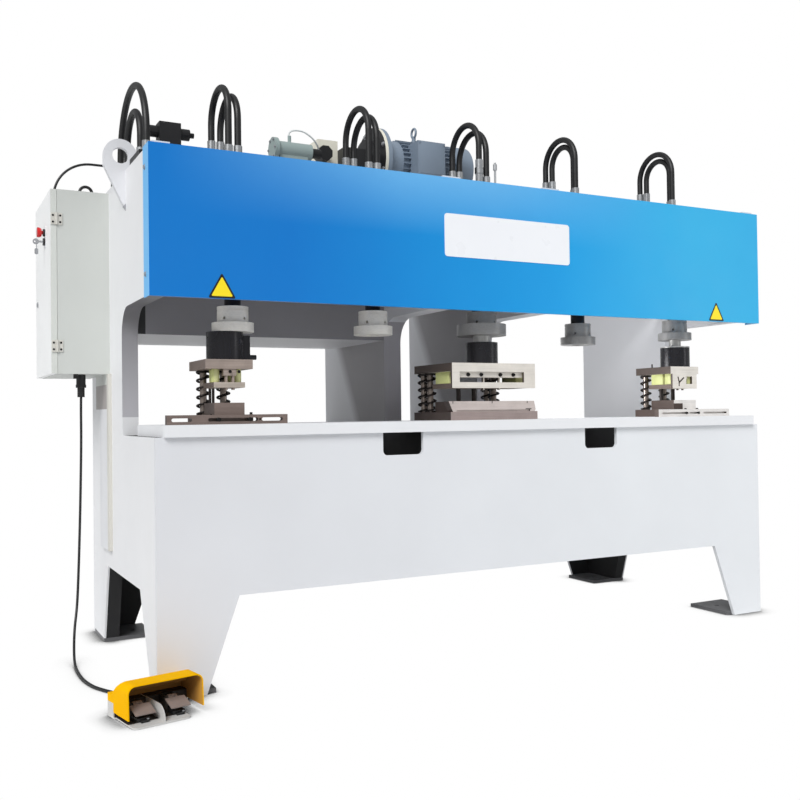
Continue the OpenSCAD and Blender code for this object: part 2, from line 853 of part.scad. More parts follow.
module upper_die_3() {
  color([0.62, 0.6, 0.56]) {
    difference() {
      box3(x3a, x3b, yf + 92, yf + 390, up_z, up_top);
      post_holes(posts_3, up_z - 1, up_top + 1, run);
    }
    difference() {
      box3(x3a, x3b, yf + 80, yf + 92, st_z - 1, up_top);
      box3(-169, 137, yf + 79, yf + 93, st_top + 3, st_top + 45);
    }
    box3(-169, 137, yf + 94, yf + 126, up_z - 24, up_z);
    for (x = punch_x3)
      zcyl(x, yf + 110, st_z - tip, up_z - 24, punch_r);
  }
}
x5a = 956;
x5b = 1124;
punch_x5 = [1025, 1055];
pin_x5 = [992, 1062];
module upper_die_5() {
  color([0.62, 0.6, 0.56]) {
    difference() {
      box3(x5a, x5b, yf + 105, yf + 333, up_z, up_top);
      post_holes(posts_5, up_z - 1, up_top + 1, run);
    }
    difference() {
      box3(x5a + 11, x5b - 11, yf + 105, yf + 117, st_z - 1, up_z);
      box3(1050, 1085, yf + 104, yf + 118, st_top + 1, st_top + 35);
      along_y(yf + 104, 14)
        polygon([[1003, st_top - 9], [1009, st_top - 9], [1009, st_top + 5], [1038, st_top + 28],
          [1034, st_top + 33], [1009, st_top + 14], [1002, st_top + 35], [996, st_top + 33],
          [1003, st_top + 9]]);
    }
    box3(1010, 1070, yf + 120, yf + 150, up_z - 22, up_z);
    for (x = punch_x5)
      zcyl(x, yf + 135, st_z - tip, up_z - 22, punch_r);
  }
}
module stripper_1() {
  color([0.75, 0.73, 0.68])
    difference() {
      union() {
        box3(-1152, -1039, yf + 104, yf + 235, st_z, st_top);
        for (p = pins_1)
          zcyl(p[0], p[1], block_z - pin_in, st_z, pin_r_1);
      }
      for (x = punch_x1)
        zcyl(x, yf + 114, st_z - 1, st_top + 1, punch_r + air);
    }
}
module stripper_3() {
  color([0.5, 0.48, 0.46])
    difference() {
      union() {
        box3(-190, 185, yf + 94, yf + 262, st_z, st_top);
        for (x = pin_x3)
          zcyl(x, yf + 180, block_z - pin_in, st_z, pilot_r);
      }
      for (x = punch_x3)
        zcyl(x, yf + 110, st_z - 1, st_top + 1, punch_r + air);
    }
}
module stripper_5() {
  color([0.5, 0.48, 0.46])
    difference() {
      union() {
        box3(x5a + 11, x5b - 11, yf + 119, yf + 260, st_z, st_top);
        for (x = pin_x5)
          zcyl(x, yf + 205, block_z - pin_in, st_z, pilot_r);
      }
      for (x = punch_x5)
        zcyl(x, yf + 135, st_z - 1, st_top + 1, punch_r + air);
    }
}
module urethane_1() {
  color([0.78, 0.8, 0.47])
    for (p = [[-1136, 140], [-1122, 210], [-1057, 140], [-1057, 210]])
      zcyl(p[0], yf + p[1], st_top, up_z, 15);
}
module urethane_3() {
  color([0.78, 0.8, 0.47])
    for (x = [-188, 134])
      box3(x, x + 50, yf + 135, yf + 240, st_top, up_z);
}
module urethane_5() {
  color([0.78, 0.8, 0.47])
    for (x = [x5a + 12, x5b - 54]) {
      box3(x, x + 38, yf + 170, yf + 245, st_top, up_z);
      box3(x, x + 38, yf + 119, yf + 158, st_top, up_z);
    }
}
// Coil spring from z0 to z1 with closed ends.
module coil(x, y, z0, z1) {
  n = 6;
  seg = 14;
  total = (coil_turns + 1) * seg;
  lo = z0 + wire_r + air;
  hi = z1 - wire_r - air;
  function cz(i) = lo + (hi - lo) * min(max((i - seg / 2) / (total - seg), 0), 1);
  pts = [for (i = [0:total])
    let (a = 360 * i / seg)
    for (j = [0:n - 1])
      let (f = 360 * j / n)
      [x + (coil_r + wire_r * cos(f)) * cos(a), y + (coil_r + wire_r * cos(f)) * sin(a), cz(i) + wire_r * sin(f)]];
  faces = concat(
    [[for (j = [0:n - 1]) j]],
    [for (i = [0:total - 1], j = [0:n - 1]) [i * n + j, (i + 1) * n + j, i * n + (j + 1) % n]],
    [for (i = [0:total - 1], j = [0:n - 1]) [i * n + (j + 1) % n, (i + 1) * n + j, (i + 1) * n + (j + 1) % n]],
    [[for (j = [n - 1:-1:0]) total * n + j]]);
  polyhedron(pts, faces);
}
module die_springs_1() {
  color([0.15, 0.14, 0.14])
    for (p = posts_1)
      coil(p[0], p[1], base_z, up_z);
}
module die_springs_3() {
  color([0.15, 0.14, 0.14])
    for (p = posts_3)
      coil(p[0], p[1], base_z, up_z);
}
module die_springs_5() {
  color([0.15, 0.14, 0.14])
    for (p = posts_5)
      coil(p[0], p[1], base_z, up_z);
}
module lower_die_1() {
  color([0.4, 0.36, 0.34]) {
    difference() {
      box3(-1185, -1010, yf + 104, yf + 330, table_z, base_z);
      post_holes(posts_1, table_z + 3, base_z + 1, press);
      for (p = pins_1)
        zcyl(p[0], p[1], table_z - 1, base_z + 1, pin_r_1 + pin_gap);
    }
    difference() {
      box3(-1150, -1041, yf + 106, yf + 235, base_z, block_z);
      for (p = pins_1)
        zcyl(p[0], p[1], base_z - 1, block_z + 1, pin_r_1 + pin_gap);
      for (x = punch_x1)
        zcyl(x, yf + 114, base_z - 1, block_z + 1, punch_r + die_gap);
    }
    difference() {
      box3(-1322, -890, yf + 80, yf + 104, table_z, base_z);
      for (s = [[-1306, -1236], [-1180, -1000], [-986, -908]]) {
        box3(s[0] + 6, s[1] - 6, yf + 79, yf + 105, table_z + 10, table_z + 22);
        ycyl(s[0] + 6, yf + 79, yf + 105, table_z + 16, 6);
        ycyl(s[1] - 6, yf + 79, yf + 105, table_z + 16, 6);
      }
      ycyl(-993, yf + 79, yf + 105, table_z + 16, 4);
    }
  }
}
module lower_die_3() {
  color([0.5, 0.47, 0.46]) {
    difference() {
      box3(-206, 209, yf + 90, yf + 392, table_z, base_z);
      post_holes(posts_3, table_z + 3, base_z + 1, press);
      for (x = pin_x3)
        zcyl(x, yf + 180, table_z - 1, base_z + 1, pilot_r + pin_gap);
    }
    difference() {
      union() {
        along_y(yf + 90, 40)
          polygon([[-215, block_z], [-200, base_z + 8], [-195, base_z], [195, base_z],
            [200, base_z + 8], [192, block_z]]);
        box3(-178, 180, yf + 130, yf + 262, base_z, block_z);
      }
      box3(-178, 172, yf + 89, yf + 96, base_z + 1, base_z + 7);
      for (x = pin_x3)
        zcyl(x, yf + 180, base_z - 1, block_z + 1, pilot_r + pin_gap);
      for (x = punch_x3)
        zcyl(x, yf + 110, base_z - 1, block_z + 1, punch_r + die_gap);
    }
  }
}
module lower_die_5() {
  color([0.5, 0.47, 0.46]) {
    difference() {
      box3(958, 1130, yf + 104, yf + 345, table_z, base_z);
      post_holes(posts_5, table_z + 3, base_z + 1, press);
      for (x = pin_x5)
        zcyl(x, yf + 205, table_z - 1, base_z + 1, pilot_r + pin_gap);
    }
    difference() {
      box3(977, 1110, yf + 110, yf + 255, base_z, block_z);
      for (x = pin_x5)
        zcyl(x, yf + 205, base_z - 1, block_z + 1, pilot_r + pin_gap);
      for (x = punch_x5)
        zcyl(x, yf + 135, base_z - 1, block_z + 1, punch_r + die_gap);
    }
    difference() {
      box3(858, 1288, yf + 80, yf + 104, table_z, base_z);
      for (s = [[880, 1034], [1042, 1101], [1127, 1271]])
        box3(s[0], s[1], yf + 79, yf + 94, table_z + 12, table_z + 20);
    }
  }
}
module guide_posts() {
  color([0.7, 0.71, 0.73])
    for (p = concat(posts_1, posts_3, posts_5))
      zcyl(p[0], p[1], table_z + 3, post_top, post_r);
}

// ---------- power unit ----------
module motor() {
  x0 = mx0;
  x1 = mx0 + motor_len;
  color([0.55, 0.59, 0.65]) {
    difference() {
      union() {
        xcyl(x0, x0 + 18, my, motor_z, motor_flange_r);
        xcyl(x0 + 18, x0 + 95, my, motor_z, 104);
        xcyl(x0 + 95, x1 - 90, my, motor_z, motor_r - 14);
        for (a = [0:12:348])
          translate([x0 + 95, my, motor_z])
            rotate([a, 0, 0])
              translate([0, -1.5, 0])
                cube([x1 - 90 - x0 - 95, 3, motor_r]);
        xcyl(x1 - 90, x1, my, motor_z, motor_r + 2);
        box3(x0 + 100, x0 + 280, my - 108, my + 108, mfoot_z, mfoot_z + 18);
        box3(x0 + 110, x0 + 270, my - 80, my + 80, mfoot_z, motor_z - 60);
        box3(x0 + 128, x0 + 262, my - 168, my - 80, motor_z - 75, motor_z + 75);
        zcyl(x0 + 200, my, motor_z + 80, motor_z + motor_r + 8, 14);
        zcyl(x0 + 200, my, motor_z + 80, motor_z + motor_r + 30, 9);
      }
      xcyl(x0 + 40, x1 - 110, my, motor_z, 66);
      xcyl(x0 - 1, x1 - 80, my, motor_z, shaft_r + run);
      xcyl(x1 - 86, x1 - 4, my, motor_z, motor_r - 4);
      for (a = [0:30:330], r = [40, 75])
        translate([x1 - 10, my, motor_z])
          rotate([a, 0, 0])
            translate([0, r, 0])
              rotate([0, 90, 0])
                cylinder(r = 9, h = 20);
    }
    translate([x0 + 200, my, motor_z + motor_r + 45])
      rotate([90, 0, 90])
        rotate_extrude()
          translate([20, 0])
            circle(5);
    box3(x0 + 100, x0 + 280, my - 108, my - 68, frame_top, mfoot_z);
    box3(x0 + 100, x0 + 280, my + 68, my + 108, frame_top, mfoot_z);
  }
}
module motor_rotor() {
  x0 = mx0;
  x1 = mx0 + motor_len;
  color([0.5, 0.5, 0.52]) {
    xcyl(x0 - 8, x1 - 50, my, motor_z, shaft_r);
    xcyl(x0 + 60, x1 - 130, my, motor_z, 64);
    xcyl(x1 - 74, x1 - 50, my, motor_z, 44);
    for (a = [0:45:315])
      translate([x1 - 72, my, motor_z])
        rotate([a, 0, 0])
          translate([0, -2, 30])
            cube([20, 4, 64]);
    xcyl(x0 - 72, x0 - 36, my, motor_z, 12 - run);
    xcyl(x0 - 36, x0 - 8, my, motor_z, 32);
  }
}
module pump_unit() {
  color([0.86, 0.85, 0.8]) {
    difference() {
      union() {
        xcyl(mx0 - 14, mx0, my, motor_z, motor_flange_r);
        xcyl(mx0 - 50, mx0 - 14, my, motor_z, 95);
      }
      xcyl(mx0 - 44, mx0 + 1, my, motor_z, 80);
      xcyl(mx0 - 51, mx0 - 43, my, motor_z, 12);
    }
    difference() {
      box3(mx0 - 165, mx0 - 50, my - 60, my + 60, motor_z - 62, motor_z + 40);
      xcyl(mx0 - 75, mx0 - 49, my, motor_z, 12);
    }
    box3(mx0 - 150, mx0 - 65, my - 45, my + 45, frame_top, motor_z - 62);
    box3(tank_x0, mx0 - 165, tank_y, tank_y + 100, frame_top, motor_z + 80);
  }
}
module valves() {
  color([0.12, 0.12, 0.13]) {
    box3(-1270, -1145, yf + 440, yf + 520, frame_top, frame_top + 100);
    box3(-1250, -1168, yf + 450, yf + 510, frame_top + 100, frame_top + 206);
    xcyl(-1286, -1250, yf + 480, frame_top + 172, 22);
    xcyl(-1168, -1130, yf + 480, frame_top + 172, 22);
    xcyl(-1130, -1112, yf + 480, frame_top + 172, 10);
    for (k = [0:4])
      box3(hx[k] - 28, hx[k] + 59, yf + 345, yf + 422, frame_top, frame_top + 20);
    box3(-xe, -xe + side_t, yf + 205, yf + 360, frame_top, frame_top + 20);
    box3(-xe, -xe + side_t, yf + 530, yf + 720, frame_top, frame_top + 20);
    zcyl(bleed[0], bleed[1], frame_top, bleed_z, 5);
    zcyl(bleed[0], bleed[1], frame_top, frame_top + 12, 12);
    zcyl(bleed[0], bleed[1], bleed_z - 34, bleed_z - 8, 9);
  }
}
module return_filter() {
  z = frame_top + 162;
  color([0.6, 0.66, 0.65]) {
    xcyl(-793, -628, yf + 480, z, 34);
    xcyl(-793, -775, yf + 480, z, 46);
    zcyl(-718, yf + 480, z, z + 60, 7);
    box3(-768, -648, yf + 456, yf + 504, frame_top, z - 20);
  }
  color([0.1, 0.1, 0.11]) {
    xcyl(-628, -585, yf + 480, z, 20);
    along_y(tank_y - 60, 60)
      polygon([for (a = [22.5:45:337.5]) [tank_x0 + 11 + 33 * cos(a), motor_z + 7 + 33 * sin(a)]]);
  }
}
module arch(x, ya, yb, zc, za, zb) {
  r = (yb - ya) / 2;
  zcyl(x, ya, za, zc, hose_r);
  zcyl(x, yb, zb, zc, hose_r);
  translate([x, (ya + yb) / 2, zc])
    rotate([90, 0, 90])
      rotate_extrude(angle = 180)
        translate([r, 0])
          circle(hose_r);
}
module ferrule(x, y, z0, z1) {
  zcyl(x, y, z0, z1, hose_r + 3);
}
module hydraulic_hoses() {
  zp = cap_z + cap_t;
  zm = frame_top + 20;
  color([0.08, 0.08, 0.08]) {
    for (k = [0:4]) {
      x2 = hose_x(k) + hose_gap[k];
      top = zp + (k == 2 ? 178 : 110);
      arch(hose_x(k), hy, hose_y1, hose_z, top, zm + 115);
      arch(x2, hy + hose_in[k], hose_y1 - hose_in[k], hose_in[k] > 0 ? hose_z : hose_z2, zp + 110, zm + 115);
      ferrule(hose_x(k), hy, zp, top);
      ferrule(hose_x(k), hose_y1, zm, zm + 115);
      ferrule(x2, hy + hose_in[k], zp, zp + 110);
      ferrule(x2, hose_y1 - hose_in[k], zm, zm + 115);
    }
    zcyl(hose_x(2), hy, zp + 120, zp + 145, hose_r + 6);
    arch(-xe + 33, yf + 235, yf + 690, frame_top + 90, zm + 40, zm + 40);
    arch(-xe + 33, yf + 330, yf + 560, frame_top + 104, zm + 40, zm + 40);
    for (y = [235, 330, 560, 690])
      ferrule(-xe + 33, yf + y, zm, zm + 40);
    translate([loop_x, yf + 900, loop_z])
      rotate([90, 0, 0])
        rotate_extrude(angle = 180)
          translate([loop_r, 0])
            circle(6);
  }
}

front_panel();
rear_panel();
left_side_frame();
right_side_frame();
left_middle_frame();
right_middle_frame();
cross_beams();
bay_plates();
foot_plates();
table_slab();
lifting_lugs();
front_cover();
cabinet_body();
cabinet_door();
control_gear();
estop_button();
key_switch();
cable_glands();
pedal_base();
pedal_guard();
left_pedal();
right_pedal();
pedal_cable();
small_cylinders();
centre_cylinder();
ram_1();
ram_2();
ram_3();
ram_4();
ram_5();
ram_head_1();
ram_head_2();
ram_head_3();
ram_head_4();
ram_head_5();
punch_block_1();
punch_block_3();
punch_block_5();
upper_die_1();
upper_die_3();
upper_die_5();
stripper_1();
stripper_3();
stripper_5();
urethane_1();
urethane_3();
urethane_5();
die_springs_1();
die_springs_3();
die_springs_5();
lower_die_1();
lower_die_3();
lower_die_5();
guide_posts();
motor();
motor_rotor();
pump_unit();
valves();
return_filter();
hydraulic_hoses();
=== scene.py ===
"""Hydraulic multihead punch press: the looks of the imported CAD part.

The front of the machine faces -Y. Masks, the cable and the camera are in metres, as the frame is. The small
pieces are written in millimetres.
"""
import math

import bmesh
import bpy
from mathutils import Matrix, Vector


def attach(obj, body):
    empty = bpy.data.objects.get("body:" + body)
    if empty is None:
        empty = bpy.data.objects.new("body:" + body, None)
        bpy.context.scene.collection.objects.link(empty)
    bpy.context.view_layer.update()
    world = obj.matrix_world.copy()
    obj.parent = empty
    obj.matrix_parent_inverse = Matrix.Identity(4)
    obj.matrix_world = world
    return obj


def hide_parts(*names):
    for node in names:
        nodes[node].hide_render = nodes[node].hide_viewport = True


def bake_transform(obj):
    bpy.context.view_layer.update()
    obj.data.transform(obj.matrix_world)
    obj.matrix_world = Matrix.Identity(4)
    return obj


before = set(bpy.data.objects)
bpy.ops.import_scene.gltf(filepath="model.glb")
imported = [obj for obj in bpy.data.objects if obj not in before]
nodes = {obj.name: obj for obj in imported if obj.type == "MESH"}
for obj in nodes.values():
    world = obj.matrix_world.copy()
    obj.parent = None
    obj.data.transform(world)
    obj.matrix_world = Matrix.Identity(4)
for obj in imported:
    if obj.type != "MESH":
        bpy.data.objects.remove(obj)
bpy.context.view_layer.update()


# ---------------------------------------------------------------- shared places
def corner(name, pick):
    """The low (pick is min) or high (max) corner of a CAD node, in millimetres."""
    points = [nodes[name].matrix_world @ Vector(p) for p in nodes[name].bound_box]
    return [round(pick(p[i] for p in points) * 1000, 1) for i in range(3)]


COVER_FACE = corner("front_cover", min)[1]
COVER_END = corner("front_cover", max)[0]
STRIPPER_TOP = corner("urethane_3", min)[2]
DIE_UNDERSIDE = corner("urethane_3", max)[2]
BASE_TOP = 933  # top of the lower dies' base plates and rails
DOOR_FACE = -1601  # the flat of the cabinet door, behind the emergency stop's collar
FORWARD, UP, LEFT = (0, -1, 0), (0, 0, 1), (-1, 0, 0)
SWITCH_X, SWITCH_Y = -1.396, -0.771  # the foot switch, in metres
SWITCH_TURN = math.radians(10.7)


def on_switch(x, y, z):
    """A point of the foot switch, given in its own turned frame in metres."""
    return (SWITCH_X + x * math.cos(SWITCH_TURN) - y * math.sin(SWITCH_TURN),
            SWITCH_Y + x * math.sin(SWITCH_TURN) + y * math.cos(SWITCH_TURN), z)


# ---------------------------------------------------------------- node builders
def lin(r, g, b):
    """Linear colour of an 8-bit display colour."""
    def one(c):
        c /= 255
        return c / 12.92 if c <= 0.04045 else ((c + 0.055) / 1.055) ** 2.4
    return (one(r), one(g), one(b), 1.0)


class Nodes:
    """A small builder for a node tree."""

    def __init__(self, tree):
        self.tree = tree
        self.tree.nodes.clear()

    def add(self, kind, **values):
        n = self.tree.nodes.new(kind)
        for k, v in values.items():
            setattr(n, k, v)
        return n

    def link(self, a, b):
        self.tree.links.new(a, b)

    def feed(self, socket, value):
        """Give a socket a plain value, or link it to the output that makes one."""
        if isinstance(value, (int, float, tuple)):
            socket.default_value = value
        else:
            self.link(value, socket)

    def maths(self, how, a, b=0.0, c=0.0):
        m = self.add("ShaderNodeMath", operation=how)
        for socket, v in zip(m.inputs, (a, b, c)):
            self.feed(socket, v)
        return m.outputs[0]

    def either_shader(self, share, first, second):
        """The second shader where share is 1, and the first where it is 0."""
        m = self.add("ShaderNodeMixShader")
        for socket, v in zip(m.inputs, (share, first, second)):
            self.link(v, socket)
        return m.outputs[0]


class Shader(Nodes):
    """A material. Its masks are 1 where they hold and 0 elsewhere."""

    def __init__(self, name):
        self.mat = bpy.data.materials.new(name)
        self.mat.use_nodes = True
        super().__init__(self.mat.node_tree)
        self.out = self.add("ShaderNodeOutputMaterial")
        self.coord = self.add("ShaderNodeTexCoord").outputs["Object"]

    def scaled(self, scale):
        m = self.add("ShaderNodeMapping")
        m.inputs["Scale"].default_value = scale
        self.link(self.coord, m.inputs["Vector"])
        return m.outputs[0]

    def noise(self, scale, detail=3.0, rough=0.55, vector=None):
        n = self.add("ShaderNodeTexNoise")
        n.inputs["Scale"].default_value = scale
        n.inputs["Detail"].default_value = detail
        n.inputs["Roughness"].default_value = rough
        self.link(vector or self.coord, n.inputs["Vector"])
        return n.outputs[0]

    def span(self, value, low, high, to_low=0.0, to_high=1.0):
        """The value's place between low and high, as a number between to_low and to_high."""
        m = self.add("ShaderNodeMapRange")
        for socket, v in zip(m.inputs, (value, low, high, to_low, to_high)):
            self.feed(socket, v)
        return m.outputs[0]

    def mix(self, share, a, b):
        """A colour part of the way from a to b."""
        m = self.add("ShaderNodeMix", data_type="RGBA")
        for socket, v in ((m.inputs[0], share), (m.inputs[6], a), (m.inputs[7], b)):
            self.feed(socket, v)
        return m.outputs[2]

    def between(self, share, a, b):
        """A plain number part of the way from a to b."""
        m = self.add("ShaderNodeMix", data_type="FLOAT")
        for socket, v in ((m.inputs[0], share), (m.inputs[2], a), (m.inputs[3], b)):
            self.feed(socket, v)
        return m.outputs[0]

    def below(self, value, limit):
        return self.maths("LESS_THAN", value, limit)

    def above(self, value, limit):
        return self.maths("GREATER_THAN", value, limit)

    def size(self, value):
        return self.maths("ABSOLUTE", value)

    def both(self, first, *rest):
        for m in rest:
            first = self.maths("MULTIPLY", first, m)
        return first

    def either(self, first, *rest):
        for m in rest:
            first = self.maths("MAXIMUM", first, m)
        return first

    def axis(self, which, source=None):
        s = self.add("ShaderNodeSeparateXYZ")
        self.link(source or self.coord, s.inputs[0])
        return s.outputs["XYZ".index(which)]

    def face_normal(self):
        return self.add("ShaderNodeNewGeometry").outputs["True Normal"]

    def normal(self, which):
        return self.axis(which, self.face_normal())

    def principled(self, colour, rough, metallic, specular, relief, strength, depth):
        """The finished surface. relief is a height, and depth is how deep it goes in metres."""
        p = self.add("ShaderNodeBsdfPrincipled")
        self.feed(p.inputs["Base Color"], colour)
        self.feed(p.inputs["Roughness"], rough)
        self.feed(p.inputs["Metallic"], metallic)
        p.inputs["Specular IOR Level"].default_value = specular
        bump = self.add("ShaderNodeBump")
        bump.inputs["Strength"].default_value = strength
        bump.inputs["Distance"].default_value = depth
        self.link(relief, bump.inputs["Height"])
        self.link(bump.outputs[0], p.inputs["Normal"])
        self.link(p.outputs[0], self.out.inputs[0])
        return self.mat


# ---------------------------------------------------------------- masks
def within(**limits):
    """Mask of the space between two limits on each axis named, in metres. None leaves a side open."""
    def mask(s):
        tests = []
        for which, (low, high) in limits.items():
            place = s.axis(which.upper())
            if low is not None:
                tests.append(s.above(place, low))
            if high is not None:
                tests.append(s.below(place, high))
        return s.both(*tests)
    return mask


def facing(which):
    """Mask of the faces that look towards the low end of an axis."""
    return lambda s: s.below(s.normal(which), -0.5)


def all_of(*masks):
    return lambda s: s.both(*(m(s) for m in masks))


def any_of(*masks):
    return lambda s: s.either(*(m(s) for m in masks))


def deep_shade(s):
    """Soft dark patch on the left faces of the middle frames, behind the throat."""
    edge = s.maths("MULTIPLY_ADD", s.axis("Z"), 0.566, -0.271)
    soft = s.span(s.maths("SUBTRACT", edge, s.axis("Y")), -0.03, 0.05)
    return s.both(facing("X")(s), within(y=(-0.065, None))(s), soft)


def throat_edge(s):
    """The edge of the left side frame inside the throat."""
    return s.both(s.below(s.size(s.normal("X")), 0.3), within(y=(-0.585, None), z=(0.929, 1.346))(s))


def switch_axes(s):
    """Position in the foot switch's own turned frame."""
    m = s.add("ShaderNodeMapping", vector_type="TEXTURE")
    m.inputs["Location"].default_value = (SWITCH_X, SWITCH_Y, 0)
    m.inputs["Rotation"].default_value = (0, 0, SWITCH_TURN)
    s.link(s.coord, m.inputs["Vector"])
    return [s.axis(q, m.outputs[0]) for q in "XYZ"]


def guard_inside(s):
    """Faces of the foot switch guard that look at the middle of its hollow."""
    way = s.add("ShaderNodeVectorMath", operation="SUBTRACT")
    way.inputs[0].default_value = (-1.4053, -0.7219, 0.03)
    s.link(s.coord, way.inputs[1])
    dot = s.add("ShaderNodeVectorMath", operation="DOT_PRODUCT")
    s.link(way.outputs[0], dot.inputs[0])
    s.link(s.face_normal(), dot.inputs[1])
    return s.above(dot.outputs["Value"], 0.002)


def switch_inside(s):
    """The foot switch under its guard and behind the pedals' front, apart from its middle divider."""
    x, y, z = switch_axes(s)
    divider_x, half_divider = 0.01775, 0.0015
    off_divider = s.above(s.size(s.maths("ADD", x, divider_x)), half_divider)
    return s.both(s.below(s.size(x), 0.1205), s.above(y, 0.006), s.above(z, 0.0045), off_divider)


# ---------------------------------------------------------------- colours that change over a piece, painted light and shade
def panel_painted_light(s):
    """White with painted light that brightens it towards the right."""
    return s.mix(s.span(s.axis("X"), -1.38, 0.6), (0.705, 0.715, 0.745, 1), (0.755, 0.775, 0.80, 1))


def painted_throat_shade(s):
    """Painted shade: grey that darkens upwards, under the arm of the throat."""
    return s.mix(s.span(s.axis("Z"), 0.94, 1.30), lin(182, 181, 186), lin(128, 127, 130))


def guard_painted_shade(s):
    """Painted shade inside the guard's hollow: brown that turns darker towards the back and the right."""
    x, y, _ = switch_axes(s)
    share = s.maths("ADD", s.span(y, 0.0, 0.11), s.span(x, -0.05, 0.12, 0, 0.5))
    return s.mix(s.maths("MINIMUM", share, 1.0), lin(226, 168, 64), lin(170, 124, 66))


# ---------------------------------------------------------------- finishes
def grain(s, kind, along, peel):
    """A finish's slow clouds, fine relief, depth of the relief in metres and small marks."""
    if kind == "paint":
        return s.noise(1.7, 4), s.noise(peel, 2), 0.0002, s.span(s.noise(90, 5, 0.7), 0.66, 0.74, 0, 0.22)
    if kind == "metal":
        brushed = s.noise(260, 3, 0.6, s.scaled(tuple(0.02 if q == along else 1.0 for q in "XYZ")))
        cloud = s.maths("MULTIPLY_ADD", brushed, 0.55, s.maths("MULTIPLY", s.noise(14, 4), 0.45))
        return cloud, brushed, 0.00015, s.span(s.noise(34, 5, 0.7), 0.58, 0.72, 0, 0.3)
    return s.noise(22, 4), s.noise(700, 2), 0.0002, s.span(s.noise(120, 4), 0.64, 0.74, 0, 0.2)


def finish(name, colour, kind="paint", rough=0.42, metallic=0.0, tone=0.06, along="X", parts=(), peel=420.0,
           specular=0.5):
    """One finish. parts are (mask, colour, roughness, metallic), each laid over the ones before it."""
    s = Shader(name)
    if callable(colour):
        colour = colour(s)
    for mask, part_colour, part_rough, part_metallic in parts:
        share = mask(s)
        if callable(part_colour):
            part_colour = part_colour(s)
        colour = s.mix(share, colour, part_colour)
        rough = s.between(share, rough, part_rough)
        metallic = s.between(share, metallic, part_metallic)
    cloud, relief, depth, marks = grain(s, kind, along, peel)
    colour = s.mix(s.span(cloud, 0.32, 0.7, 0, tone), colour, (0, 0, 0, 1))
    colour = s.mix(marks, colour, s.mix(0.3, colour, (0.1, 0.09, 0.08, 1)))
    rough = s.maths("ADD", rough, s.span(s.noise(9, 3), 0.3, 0.7, -0.05, 0.07))
    return s.principled(colour, rough, metallic, specular, relief, 0.25, depth)


def metal(name, colour, rough, metallic, tone, along="X", parts=()):
    return finish(name, colour, "metal", rough, metallic, tone, along, parts)


def plastic(name, colour, rough, tone=0.06, parts=()):
    return finish(name, colour, "plastic", rough, tone=tone, parts=parts)


def cover_paint():
    """Blue enamel with painted light: it pales towards the right end, with a painted sheen near the top and a
    left return painted pale.
    """
    s = Shader("cover_paint")
    x, z = s.axis("X"), s.axis("Z")
    # Painted light: the blue pales towards the right end.
    c = s.mix(s.span(x, -0.9, 0.35), lin(10, 118, 200), lin(22, 160, 226))
    c = s.mix(s.span(x, 0.25, 1.0), c, lin(50, 176, 226))
    # Painted sheen near the top, strongest near the middle.
    from_middle = s.size(s.maths("ADD", x, 0.25))
    sheen = s.maths("MULTIPLY", s.span(z, 1.60, 1.83), s.span(from_middle, 1.1, 0.2))
    c = s.mix(s.maths("MULTIPLY", sheen, 0.66), c, lin(124, 194, 242))
    # Painted light on the left return.
    c = s.mix(facing("X")(s), c, lin(104, 186, 242))
    cloud = s.span(s.noise(2.2, 4), 0.3, 0.7)
    c = s.mix(s.maths("MULTIPLY", cloud, 0.07), c, lin(4, 84, 180))
    rough = s.span(s.noise(7, 3), 0.3, 0.7, 0.3, 0.4)
    return s.principled(c, rough, 0.0, 0.3, s.noise(420, 2), 0.3, 0.0002)


WHITE = (0.735, 0.742, 0.768, 1)
BLACK = (0.012, 0.012, 0.013, 1)

# Black painted shade over the inside of the frame below the table, which shows through the scrap notches.
PAINTED_INSIDE_SHADE = (within(x=(-1.3725, 1.3725), y=(-0.5745, 0.5745), z=(None, 0.8603)), BLACK, 0.7, 0.0)
HINGES = (within(y=(None, 0.1797)), lin(214, 212, 204), 0.35, 0.2)

# The steel ends of the hoses: in front, behind, the middle hose's longer one, and those over the left end.
FERRULES = any_of(
    within(x=(-1.2, None), y=(None, -0.3), z=(None, 1.905)),
    within(x=(-1.2, None), y=(-0.3, None), z=(None, 1.975)),
    within(x=(-0.017, 0.017), y=(None, -0.3), z=(None, 1.973)),
    within(x=(None, -1.2), y=(None, 0.2), z=(None, 1.9)))

